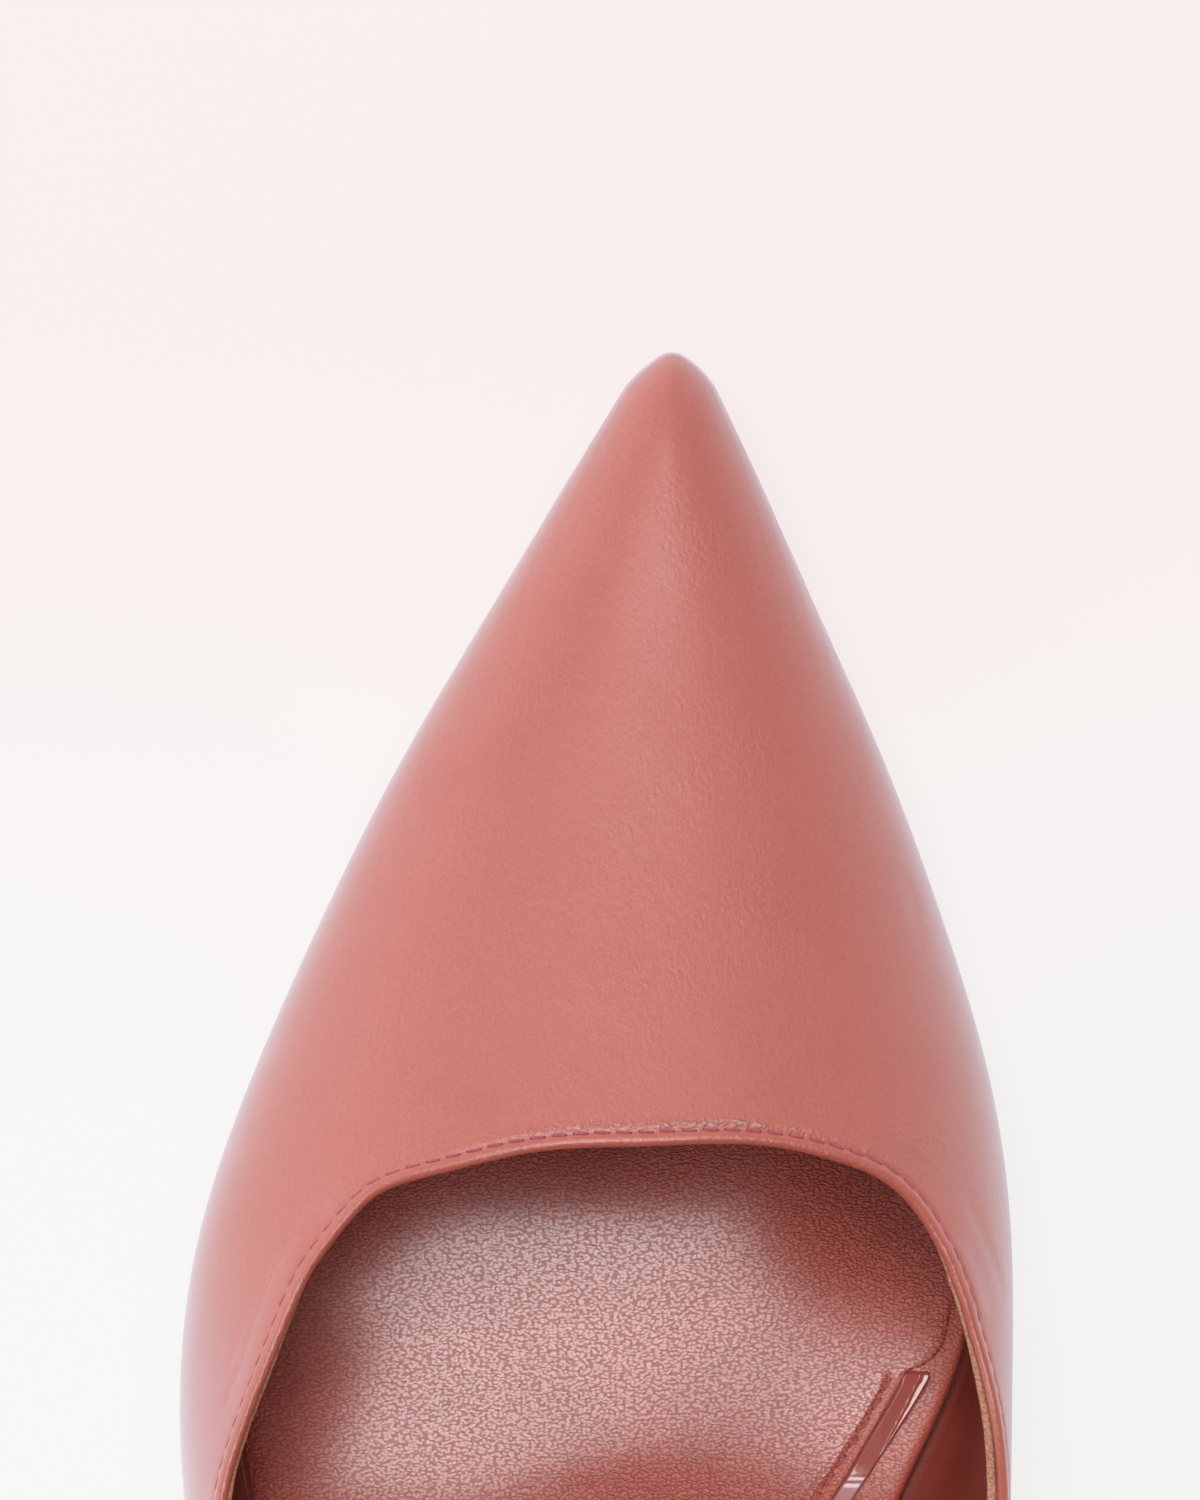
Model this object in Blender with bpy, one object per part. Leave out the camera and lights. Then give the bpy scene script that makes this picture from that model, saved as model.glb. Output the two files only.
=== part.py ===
"""Slingback pump, the left shoe of a pair, size EU 37, standing on its sole.

Sizes are in millimetres and turn into metres where a mesh is made. "at" is a distance behind the toe tip,
measured along the floor. +X is the outer (lateral) side of the foot, -X the inner (medial) side, the toe
points to -Y and +Z is up. The upper, the sole and the insole all come from the same two tables: SOLE_PLAN,
the outline of the last's bottom, and LAST, the last's cross-sections.
"""

import math
from collections import namedtuple

import bmesh
import bpy
import numpy as np
from mathutils import Vector

MM = 0.001

# Driving sizes
LENGTH = 232.0  # toe tip to the back of the heel seat, along the floor
TOE_X = -7.3  # the toe tip lies this far to the inner side of the ball's middle
TOE_ROUND = 3.8  # how far behind its tip the toe's outline reaches its full wedge
TOE_FAN = 30.0  # over this length the sections fan out round the toe
FEATHER_TIP, CROWN_TIP = 2.4, 10.0  # where the feather line and the crown line start at the toe
HEEL_X = -3.0
HEEL_ROUND = 26.0  # how far before the back of the seat its outline starts to close
WALL = 2.0  # leather, stiffener and lining of the upper
GAP, STRAP_GAP = 0.3, 0.45  # clearance between pieces that meet
OUTSOLE_THICK, OUTSOLE_EDGE = 2.6, 1.0
INSOLE_THICK = 3.6
TREAD_START, TREAD_END = 74.0, 92.0  # the flat of the sole under the ball
TOE_SPRING = 5.0
BREAST_AT = 189.0  # front of the heel block
HEEL_EDGE = 0.8  # the heel block stands this far out of the feather line
HEEL_TIP_AT, HEEL_TIP_LONG, HEEL_TIP_WIDE = 219.5, 10.0, 9.6
WIDE_TAPER, BREAST_TAPER, BACK_TAPER = 2.6, 3.2, 2.0  # the higher, the sooner the heel block draws in
TOP_LIFT_THICK = 6.0
STRAP_WIDE, STRAP_THICK = 8.0, 1.6
STRAP_REACH = 4.0  # degrees round the section, over which an end lies against the quarter
ANKLE_AT = 195.0  # the middle of the ankle, which the strap leans towards

# The underside of the sole behind the tread: its height above the floor
ShankPoint = namedtuple("ShankPoint", "at height")
SHANK = (
    ShankPoint(TREAD_END, 0.0),
    ShankPoint(105.0, 1.6),
    ShankPoint(120.0, 7.2),
    ShankPoint(135.0, 17.0),
    ShankPoint(150.0, 29.8),
    ShankPoint(165.0, 43.6),
    ShankPoint(180.0, 56.2),
    ShankPoint(195.0, 66.2),
    ShankPoint(210.0, 73.6),
    ShankPoint(LENGTH, 81.5),
)

# The feather line, where the upper turns in under the last
SolePlan = namedtuple("SolePlan", "at lateral medial")
SOLE_PLAN = (
    SolePlan(0.0, -6.2, -8.5),
    SolePlan(10.0, -1.5, -11.8),
    SolePlan(25.0, 7.3, -18.3),
    SolePlan(40.0, 16.0, -24.8),
    SolePlan(55.0, 23.4, -30.2),
    SolePlan(70.0, 29.8, -34.6),
    SolePlan(85.0, 34.4, -37.0),
    SolePlan(97.0, 35.6, -36.1),
    SolePlan(110.0, 34.2, -30.4),
    SolePlan(125.0, 29.6, -24.9),
    SolePlan(145.0, 23.0, -22.6),
    SolePlan(165.0, 20.2, -24.2),
    SolePlan(185.0, 20.3, -26.2),
    SolePlan(207.0, 21.4, -27.4),
    SolePlan(LENGTH, 21.4, -27.4),
)

# The last's cross-sections: its widest points, their heights above the feather line, and its crown
LastSection = namedtuple("LastSection", "at lateral medial belly_lateral belly_medial crown_x crown")
LAST = (
    LastSection(0.0, -4.9, -9.9, 3.2, 3.2, -7.3, 8.0),
    LastSection(10.0, 1.3, -14.7, 4.6, 4.6, -7.1, 12.4),
    LastSection(25.0, 10.3, -21.4, 6.6, 6.6, -6.6, 18.0),
    LastSection(40.0, 19.1, -28.0, 8.6, 8.6, -6.0, 23.8),
    LastSection(55.0, 26.6, -33.5, 10.6, 10.6, -5.4, 29.8),
    LastSection(70.0, 33.2, -37.9, 12.6, 13.0, -5.0, 36.0),
    LastSection(85.0, 38.2, -39.9, 14.6, 17.0, -4.6, 41.8),
    LastSection(100.0, 40.0, -39.7, 17.0, 25.0, -4.2, 47.6),
    LastSection(112.0, 39.2, -39.1, 19.0, 33.0, -4.0, 54.0),
    LastSection(130.0, 35.6, -37.2, 23.0, 38.0, -3.8, 66.0),
    LastSection(150.0, 30.6, -33.4, 27.0, 40.0, -3.4, 80.0),
    LastSection(180.0, 26.6, -29.8, 30.0, 40.0, -3.0, 92.0),
)
CROWN_POWER = 2.15  # 2 is an ellipse; above that the shoulders are squarer
TUCK_POWER = 2.4

# The topline: where a rib of the upper starts on the feather line, where it ends on the topline, and the
# angle round the section there, with 90 degrees on the crown and 0 at the widest point
RimPoint = namedtuple("RimPoint", "foot at angle")
RIM_LATERAL = (
    RimPoint(74.0, 75.8, 90.0),
    RimPoint(76.5, 76.0, 81.5),
    RimPoint(79.0, 76.8, 72.8),
    RimPoint(81.5, 78.3, 64.0),
    RimPoint(84.0, 80.2, 54.6),
    RimPoint(87.0, 83.5, 49.2),
    RimPoint(91.0, 87.8, 44.4),
    RimPoint(96.0, 93.2, 40.6),
    RimPoint(103.0, 100.4, 34.7),
    RimPoint(111.0, 108.8, 25.9),
    RimPoint(125.0, 121.0, 16.5),
    RimPoint(143.0, 134.5, 10.5),
    RimPoint(163.0, 148.5, 7.0),
    RimPoint(184.0, 161.0, 6.0),
)
RIM_MEDIAL = (
    RimPoint(74.0, 75.8, 90.0),
    RimPoint(76.5, 75.6, 80.5),
    RimPoint(79.0, 75.95, 70.7),
    RimPoint(81.5, 77.2, 60.6),
    RimPoint(84.0, 79.3, 50.6),
    RimPoint(87.0, 82.8, 42.6),
    RimPoint(91.0, 87.4, 36.2),
    RimPoint(96.0, 92.8, 29.6),
    RimPoint(103.0, 100.0, 20.0),
    RimPoint(111.0, 108.2, 11.0),
    RimPoint(125.0, 120.6, 3.5),
    RimPoint(143.0, 134.3, -2.0),
    RimPoint(163.0, 148.3, -5.0),
    RimPoint(184.0, 161.0, -6.5),
)

# Where the strap's ends lie on the inside of the quarters: distance behind the toe tip, angle round the section
StrapSeat = namedtuple("StrapSeat", "place angle")
STRAP_SEATS = {
    "lateral": (StrapSeat(144.0, 2.1), StrapSeat(151.0, 1.0), StrapSeat(158.0, 0.6)),
    "medial": (StrapSeat(144.0, -14.5), StrapSeat(151.0, -16.0), StrapSeat(158.0, -17.2)),
}
# The strap's free line from the outer quarter round the ankle to the inner one, leaning in by so many degrees
StrapPoint = namedtuple("StrapPoint", "at x height lean")
STRAP = (
    StrapPoint(172.0, 23.8, 83.4, 4.0),
    StrapPoint(187.0, 23.0, 97.0, 7.0),
    StrapPoint(204.0, 21.2, 111.6, 8.0),
    StrapPoint(219.0, 15.8, 123.2, 8.0),
    StrapPoint(230.0, 6.0, 130.5, 8.0),
    StrapPoint(233.0, -3.5, 132.4, 8.0),
    StrapPoint(230.0, -13.0, 130.5, 8.0),
    StrapPoint(219.0, -22.6, 123.2, 8.0),
    StrapPoint(204.0, -27.4, 111.6, 8.0),
    StrapPoint(187.0, -28.2, 97.0, 4.0),
    StrapPoint(172.0, -27.8, 83.4, 0.0),
)

# Mesh densities
TOE_RIBS, VAMP_RIBS, QUARTER_RIBS, RIB_STEPS = 7, 12, 28, 13
RIB_CROWDING = 1.25  # above 1, the quarter's ribs stand closer together near the throat
SOLE_STEPS_TOE, SOLE_STEPS_ALONG, SOLE_STEPS_SEAT, SOLE_STEPS_ACROSS = 6, 48, 8, 6
HEEL_RINGS, HEEL_SIDE_STEPS, HEEL_BREAST_STEPS = 16, 22, 6
STRAP_STEPS = 60

# Leather and rubber: colour, roughness
Look = namedtuple("Look", "colour roughness")
NAPPA = Look((0.58, 0.20, 0.16), 0.45)
SOCK = Look((0.50, 0.16, 0.12), 0.35)
SOLE_LEATHER = Look((0.62, 0.44, 0.28), 0.5)
RUBBER = Look((0.05, 0.04, 0.04), 0.7)


# ---------------------------------------------------------------- curves through the tables


def smooth_curve(places, values, start_slope=None):
    """A natural cubic spline through the values, as a function. It can leave its start at a given slope."""
    places = np.array(places, float)
    values = np.array(values, float)
    count = len(places)
    step = np.diff(places)
    rise = np.diff(values) / step
    matrix = np.eye(count)
    right = np.zeros(count)
    for i in range(1, count - 1):
        matrix[i, i - 1 : i + 2] = step[i - 1], 2 * (step[i - 1] + step[i]), step[i]
        right[i] = 6 * (rise[i] - rise[i - 1])
    if start_slope is not None:
        matrix[0, :2] = 2 * step[0], step[0]
        right[0] = 6 * (rise[0] - start_slope)
    bend = np.linalg.solve(matrix, right)

    def curve(place):
        place = min(max(place, places[0]), places[-1])
        i = min(int(np.searchsorted(places, place, side="right")) - 1, count - 2)
        before = place - places[i]
        after = places[i + 1] - place
        cubic = (bend[i] * after**3 + bend[i + 1] * before**3) / (6 * step[i])
        left = (values[i] / step[i] - bend[i] * step[i] / 6) * after
        return float(cubic + left + (values[i + 1] / step[i] - bend[i + 1] * step[i] / 6) * before)

    return curve


def table_curves(table, places=None):
    """One smooth curve for each column of a table. The places are its first column, or even steps of 0 to 1."""
    if places is None:
        places = [row[0] for row in table]
    return {name: smooth_curve(places, [getattr(row, name) for row in table]) for name in table[0]._fields}


SOLE_CURVES = table_curves(SOLE_PLAN)
LAST_CURVES = table_curves(LAST)
SHANK_CURVE = smooth_curve([p.at for p in SHANK], [p.height for p in SHANK], start_slope=0.0)
RIM_CURVES = {
    "lateral": table_curves(RIM_LATERAL, np.linspace(0.0, 1.0, len(RIM_LATERAL))),
    "medial": table_curves(RIM_MEDIAL, np.linspace(0.0, 1.0, len(RIM_MEDIAL))),
}
OUTWARD = {"lateral": 1.0, "medial": -1.0}


def slope_of(curve, at):
    half_step = 0.5
    return (curve(at + half_step) - curve(at - half_step)) / (2 * half_step)


def squared(slope):
    """How much longer an offset gets when it is taken along an axis instead of square to a slope."""
    return math.sqrt(1.0 + slope * slope)


# ---------------------------------------------------------------- the last


def sole_bottom(at):
    """Height of the sole's underside: toe spring, a flat tread, then the rise of the shank."""
    if at < TREAD_START:
        return TOE_SPRING * ((TREAD_START - at) / TREAD_START) ** 2
    if at <= TREAD_END:
        return 0.0
    return SHANK_CURVE(at)


def layer_height(at, above):
    """Height of a surface that lies this far above the sole's underside, measured square to it."""
    return sole_bottom(at) + above * squared(slope_of(sole_bottom, at))


def feather_height(at, above=0.0):
    return layer_height(at, OUTSOLE_THICK + GAP + above)


def tip_share(behind_tip):
    """How much of its wedge's width the toe's round tip has reached, this far behind it."""
    left = 1.0 - min(max(behind_tip / TOE_ROUND, 0.0), 1.0)
    return math.sqrt(1.0 - left * left)


def seat_share(before_back):
    """How much of its width the outline keeps, this far before the back of the seat."""
    into = 1.0 - min(max(before_back / HEEL_ROUND, 0.0), 1.0)
    return math.sqrt(1.0 - into * into)


def fanned(place, tip):
    """Where a section lies on a line that starts behind the toe tip by tip; past the fan it is its own place."""
    return place + tip * max(1.0 - place / TOE_FAN, 0.0) ** 2


def sole_edge(side, at, out=0.0):
    """x of the feather line moved outwards, closed round the toe and round the seat."""
    curve = SOLE_CURVES[side]
    wide = curve(at) + OUTWARD[side] * out * squared(slope_of(curve, at))
    wide = TOE_X + (wide - TOE_X) * tip_share(at - FEATHER_TIP + out)
    return HEEL_X + (wide - HEEL_X) * seat_share(LENGTH + out - at)


def crown_height(at):
    return feather_height(at) + LAST_CURVES["crown"](at)


def last_point(side, place, angle, inset=0.0):
    """A point of the upper's skin, (x, at, z), or of a skin that lies inside it by inset.

    place is the distance of the section behind the toe tip. The angle goes round the section, from -90 on the
    feather line through 0 at the widest point to 90 on the crown.
    """
    feather_at = fanned(place, FEATHER_TIP)
    feather_x = sole_edge(side, feather_at)
    feather_z = feather_height(feather_at, inset)
    wide_at = fanned(place, inset)
    wide_curve = LAST_CURVES[side]
    wide_x = wide_curve(wide_at) - OUTWARD[side] * inset * squared(slope_of(wide_curve, wide_at))
    wide_x = TOE_X + (wide_x - TOE_X) * tip_share(wide_at - inset)
    wide_z = feather_height(wide_at) + LAST_CURVES["belly_" + side](wide_at)
    turn = math.radians(abs(angle))
    power = CROWN_POWER if angle > 0 else TUCK_POWER
    out = max(math.cos(turn), 0.0) ** (2.0 / power)
    up = math.sin(turn) ** (2.0 / power)
    if angle <= 0:
        x = feather_x + (wide_x - feather_x) * out
        at = feather_at + (wide_at - feather_at) * out
        return x, at, wide_z - (wide_z - feather_z) * up
    crown_at = fanned(place, CROWN_TIP)
    crown_x = LAST_CURVES["crown_x"](crown_at)
    crown_slope = slope_of(crown_height, crown_at)
    crown_z = crown_height(crown_at) - inset * squared(crown_slope)
    x = crown_x + (wide_x - crown_x) * out
    at = crown_at + (wide_at - crown_at) * out
    lifted = crown_slope * (crown_at - wide_at)
    return x, at, wide_z + (crown_z - wide_z - lifted) * up + crown_slope * (at - wide_at)


# ---------------------------------------------------------------- meshes


def to_world(point):
    x, at, z = point
    return Vector((x * MM, at * MM, z * MM))


def closed_mesh(name, points, faces):
    """A mesh from points in millimetres. Points that coincide, as at a tip, are made one."""
    form = bmesh.new()
    verts = [form.verts.new(to_world(p)) for p in points]
    for face in faces:
        form.faces.new([verts[i] for i in face])
    bmesh.ops.remove_doubles(form, verts=form.verts, dist=1e-6)
    bmesh.ops.recalc_face_normals(form, faces=form.faces)
    mesh = bpy.data.meshes.new(name)
    form.to_mesh(mesh)
    form.free()
    mesh.shade_smooth()
    mesh.set_sharp_from_angle(angle=math.radians(40))
    return mesh


def grid_faces(rows, columns, first=0):
    """Quads of a grid whose points are stored row by row from number first."""
    faces = []
    for row in range(rows - 1):
        for column in range(columns - 1):
            a = first + row * columns + column
            faces.append((a, a + 1, a + columns + 1, a + columns))
    return faces


def ring_faces(rings, around, first=0):
    """Quads between rings of points, each ring closed on itself."""
    faces = []
    for ring in range(rings - 1):
        for i in range(around):
            a = first + ring * around + i
            b = first + ring * around + (i + 1) % around
            faces.append((a, b, b + around, a + around))
    return faces


def shell_faces(rows, columns):
    """Faces of a slab: two grids of the same size, the second stored after the first, and walls at their edges."""
    size = rows * columns
    faces = grid_faces(rows, columns)
    faces += [tuple(reversed(face)) for face in grid_faces(rows, columns, size)]
    rim = [row * columns for row in range(rows)]
    rim += [(rows - 1) * columns + column for column in range(1, columns)]
    rim += [row * columns + columns - 1 for row in range(rows - 2, -1, -1)]
    rim += list(range(columns - 2, 0, -1))
    for a, b in zip(rim, rim[1:] + rim[:1]):
        faces.append((a, b, b + size, a + size))
    return faces


# ---------------------------------------------------------------- sole, insole


def sole_places(start, end, round_back):
    """Places of the crosswise rows of a sole layer, closer together where its outline turns."""
    turns = [math.pi / 2 * i / SOLE_STEPS_TOE for i in range(SOLE_STEPS_TOE)]
    places = [start + TOE_ROUND * (1.0 - math.cos(turn)) for turn in turns]
    last = end - HEEL_ROUND if round_back else end
    first = start + TOE_ROUND
    fixed = [first, TREAD_START, TREAD_END, last]
    for a, b in zip(fixed, fixed[1:]):
        steps = max(round(SOLE_STEPS_ALONG * (b - a) / (last - first)), 1)
        places += [a + (b - a) * i / steps for i in range(steps)]
    places.append(last)
    if round_back:
        turns = [math.pi / 2 * i / SOLE_STEPS_SEAT for i in range(1, SOLE_STEPS_SEAT + 1)]
        places += [last + HEEL_ROUND * math.sin(turn) for turn in turns]
    return places


def sole_layer(name, out, bottom, top, start, end, round_back):
    """A slab between two heights above the sole's underside, with the feather line moved out as its outline."""
    places = sole_places(start, end, round_back)
    points = []
    for above in (bottom, top):
        for at in places:
            edges = sole_edge("lateral", at, out), sole_edge("medial", at, out)
            height = layer_height(at, above)
            for i in range(SOLE_STEPS_ACROSS + 1):
                share = i / SOLE_STEPS_ACROSS
                points.append((edges[0] + (edges[1] - edges[0]) * share, at, height))
    return closed_mesh(name, points, shell_faces(len(places), SOLE_STEPS_ACROSS + 1))


def outsole_mesh():
    start = FEATHER_TIP - OUTSOLE_EDGE
    return sole_layer("outsole", OUTSOLE_EDGE, 0.0, OUTSOLE_THICK, start, BREAST_AT - GAP, False)


def insole_mesh():
    bottom = OUTSOLE_THICK + GAP
    return sole_layer("insole", -GAP, bottom, bottom + INSOLE_THICK, FEATHER_TIP + GAP, LENGTH - GAP, True)


# ---------------------------------------------------------------- upper


def upper_ribs(side):
    """The upper's ribs on one side from the toe to the back of the quarter, as (foot, end, angle at the end).
    They run from the feather line to the crown on the vamp, and to the topline behind the throat."""
    rim = RIM_CURVES[side]
    throat = rim["foot"](0.0)
    turns = [math.pi / 2 * i / TOE_RIBS for i in range(TOE_RIBS)]
    feet = [TOE_ROUND * (1.0 - math.cos(turn)) for turn in turns]
    feet += [TOE_ROUND + (throat - TOE_ROUND) * i / VAMP_RIBS for i in range(VAMP_RIBS)]
    ribs = [(foot, foot, 90.0) for foot in feet]
    for i in range(QUARTER_RIBS + 1):
        share = (i / QUARTER_RIBS) ** RIB_CROWDING
        ribs.append((rim["foot"](share), rim["at"](share), rim["angle"](share)))
    return ribs


def rib_place(rib, share):
    """(place, angle) at a share of the way up a rib."""
    foot, end, end_angle = rib
    swept = (1.0 - math.cos(math.pi * share)) / 2.0
    return foot + (end - foot) * swept, -90.0 + (end_angle + 90.0) * share


def upper_mesh():
    """One shell that hangs over the toe like a saddle: ribs from the outer quarter round the toe to the inner one."""
    ribs = [("lateral", rib) for rib in reversed(upper_ribs("lateral"))]
    ribs += [("medial", rib) for rib in upper_ribs("medial")[1:]]
    points = []
    for inset in (0.0, WALL):
        for side, rib in ribs:
            for step in range(RIB_STEPS + 1):
                place, angle = rib_place(rib, step / RIB_STEPS)
                points.append(last_point(side, place, angle, inset))
    return closed_mesh("upper", points, upper_faces(len(ribs)))


def upper_faces(rib_count):
    """Two grids joined along the feather line, the topline and the back edges. The vamp's ribs of both sides meet
    on the crown, so there the wall between the grids is left out."""
    columns = RIB_STEPS + 1
    size = rib_count * columns
    faces = grid_faces(rib_count, columns)
    faces += [tuple(reversed(face)) for face in grid_faces(rib_count, columns, size)]
    middle = rib_count // 2
    vamp = TOE_RIBS + VAMP_RIBS
    for row in range(rib_count - 1):
        a, b = row * columns, (row + 1) * columns
        faces.append((a, b, b + size, a + size))
        on_vamp = middle - vamp <= row < middle + vamp
        if not on_vamp:
            a, b = a + RIB_STEPS, b + RIB_STEPS
            faces.append((b, a, a + size, b + size))
    for row in (0, rib_count - 1):
        for step in range(RIB_STEPS):
            a = row * columns + step
            faces.append((a, a + 1, a + 1 + size, a + size))
    return faces


# ---------------------------------------------------------------- heel


def heel_top_ring():
    """The heel block's top outline from the outer breast corner round the back to the inner one, then across."""
    start = BREAST_AT
    end = LENGTH + HEEL_EDGE
    ring = []
    for i in range(HEEL_SIDE_STEPS + 1):
        turn = math.pi * i / HEEL_SIDE_STEPS
        side = "lateral" if i <= HEEL_SIDE_STEPS / 2 else "medial"
        at = start + (end - start) * math.sin(turn)
        ring.append((sole_edge(side, at, HEEL_EDGE), at))
    first, last = ring[0], ring[-1]
    for i in range(1, HEEL_BREAST_STEPS):
        share = i / HEEL_BREAST_STEPS
        ring.append((last[0] + (first[0] - last[0]) * share, start))
    return ring


def heel_tip_ring():
    """The D-shaped outline of the heel's lower end, point for point as the top outline."""
    half_wide = HEEL_TIP_WIDE / 2
    front = HEEL_TIP_AT - HEEL_TIP_LONG / 2
    ring = []
    for i in range(HEEL_SIDE_STEPS + 1):
        turn = math.pi * i / HEEL_SIDE_STEPS
        ring.append((HEEL_X + half_wide * math.cos(turn), front + HEEL_TIP_LONG * math.sin(turn)))
    for i in range(1, HEEL_BREAST_STEPS):
        ring.append((HEEL_X - half_wide + HEEL_TIP_WIDE * i / HEEL_BREAST_STEPS, front))
    return ring


def heel_mesh():
    """The heel block: wide under the seat, drawn in fast at the breast and slowly at the back."""
    top = heel_top_ring()
    tip = heel_tip_ring()
    low = TOP_LIFT_THICK + GAP
    around = len(top)
    points = []
    for ring in range(HEEL_RINGS + 1):
        down = ring / HEEL_RINGS
        keep_wide = (1.0 - down) ** WIDE_TAPER
        for (top_x, top_at), (tip_x, tip_at) in zip(top, tip):
            to_back = (top_at - BREAST_AT) / (LENGTH + HEEL_EDGE - BREAST_AT)
            keep_long = (1.0 - down) ** (BREAST_TAPER + (BACK_TAPER - BREAST_TAPER) * to_back)
            high = layer_height(top_at, OUTSOLE_THICK)
            x = tip_x + (top_x - tip_x) * keep_wide
            at = tip_at + (top_at - tip_at) * keep_long
            points.append((x, at, low + (high - low) * (1.0 - down)))
    faces = ring_faces(HEEL_RINGS + 1, around)
    faces.append(tuple(range(HEEL_RINGS * around, (HEEL_RINGS + 1) * around)))
    return closed_mesh("heel", points, faces + seat_faces(around))


def seat_faces(around):
    """The heel's top, as strips across between its two sides. The first strip ends on the breast's edge."""
    breast = range(HEEL_SIDE_STEPS, around)
    faces = [(HEEL_SIDE_STEPS - 1, *breast, 0, 1)]
    for a in range(1, HEEL_SIDE_STEPS // 2):
        b = HEEL_SIDE_STEPS - a
        faces.append(tuple(dict.fromkeys((a, a + 1, b - 1, b))))
    return faces


def top_lift_mesh():
    """The wearing piece on the heel's tip, with the flat that stands on the floor."""
    ring = heel_tip_ring()
    points = [(x, at, height) for height in (0.0, TOP_LIFT_THICK) for x, at in ring]
    around = len(ring)
    faces = ring_faces(2, around)
    faces += [tuple(range(around)), tuple(range(around, 2 * around))]
    return closed_mesh("top_lift", points, faces)


# ---------------------------------------------------------------- strap


def strap_line():
    """The strap's centreline with the way it stands at each point: from the outer quarter's inside to the
    inner's. Rows of x, at, height of the centre and of the upright direction."""
    deep = WALL + STRAP_GAP + STRAP_THICK / 2
    rows = {}
    for side, seats in STRAP_SEATS.items():
        rows[side] = []
        for seat in seats:
            centre = np.array(last_point(side, seat.place, seat.angle, deep))
            above = np.array(last_point(side, seat.place, seat.angle + STRAP_REACH, deep))
            below = np.array(last_point(side, seat.place, seat.angle - STRAP_REACH, deep))
            upright = (above - below) / np.linalg.norm(above - below)
            rows[side].append(np.concatenate([centre, upright]))
    free = []
    for point in STRAP:
        lean = math.radians(point.lean)
        to_ankle = np.array([HEEL_X - point.x, ANKLE_AT - point.at, 0.0])
        to_ankle /= np.linalg.norm(to_ankle)
        upright = np.array([0.0, 0.0, math.cos(lean)]) + to_ankle * math.sin(lean)
        free.append(np.concatenate([(point.x, point.at, point.height), upright]))
    return np.array(rows["lateral"] + free + rows["medial"][::-1])


def strap_mesh():
    """A flat band swept along the strap's line, its width standing up."""
    rows = strap_line()
    lengths = np.linalg.norm(np.diff(rows[:, :3], axis=0), axis=1)
    places = np.concatenate([[0.0], np.cumsum(lengths)])
    curves = [smooth_curve(places, column) for column in rows.T]
    points = []
    for place in np.linspace(0.0, places[-1], STRAP_STEPS + 1):
        centre = np.array([curve(place) for curve in curves[:3]])
        upright = np.array([curve(place) for curve in curves[3:]])
        ahead = np.array([slope_of(curve, place) for curve in curves[:3]])
        thick = np.cross(upright, ahead)
        thick /= np.linalg.norm(thick)
        wide = np.cross(ahead, thick)
        wide /= np.linalg.norm(wide)
        for across, out in ((-0.5, -0.5), (0.5, -0.5), (0.5, 0.5), (-0.5, 0.5)):
            points.append(centre + wide * across * STRAP_WIDE + thick * out * STRAP_THICK)
    faces = ring_faces(STRAP_STEPS + 1, 4)
    end = STRAP_STEPS * 4
    faces += [(0, 1, 2, 3), (end, end + 1, end + 2, end + 3)]
    return closed_mesh("strap", points, faces)


# ---------------------------------------------------------------- scene


def clear_scene():
    for obj in list(bpy.data.objects):
        bpy.data.objects.remove(obj)


def principled(name, look):
    material = bpy.data.materials.new(name)
    material.use_nodes = True
    shader = material.node_tree.nodes["Principled BSDF"]
    shader.inputs["Base Color"].default_value = (*look.colour, 1.0)
    shader.inputs["Roughness"].default_value = look.roughness
    shader.inputs["Metallic"].default_value = 0.0
    return material


def add_part(collection, name, mesh, look):
    mesh.materials.append(principled(name, look))
    part = bpy.data.objects.new(name, mesh)
    collection.objects.link(part)
    return part


def centre_on_floor(parts):
    """Moves the meshes together so that the middle of their common box lies over the origin."""
    corners = np.array([v.co for part in parts for v in part.data.vertices])
    middle = (corners.min(axis=0) + corners.max(axis=0)) / 2
    for part in parts:
        for vertex in part.data.vertices:
            vertex.co.x -= middle[0]
            vertex.co.y -= middle[1]


def main():
    clear_scene()
    collection = bpy.data.collections.new("slingback_pump")
    bpy.context.scene.collection.children.link(collection)
    parts = [
        add_part(collection, "outsole", outsole_mesh(), SOLE_LEATHER),
        add_part(collection, "insole", insole_mesh(), SOCK),
        add_part(collection, "upper", upper_mesh(), NAPPA),
        add_part(collection, "heel", heel_mesh(), NAPPA),
        add_part(collection, "top_lift", top_lift_mesh(), RUBBER),
        add_part(collection, "strap", strap_mesh(), NAPPA),
    ]
    centre_on_floor(parts)


main()
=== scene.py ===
"""Looks of the slingback pump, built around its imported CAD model.

Sizes are in millimetres until a mesh is made, in the shoe's own coordinates: x outwards (+ is the lateral
side), "at" the distance behind the toe tip along the floor, z up. The last's tables are the CAD model's.
"""

import math
from collections import namedtuple

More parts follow.
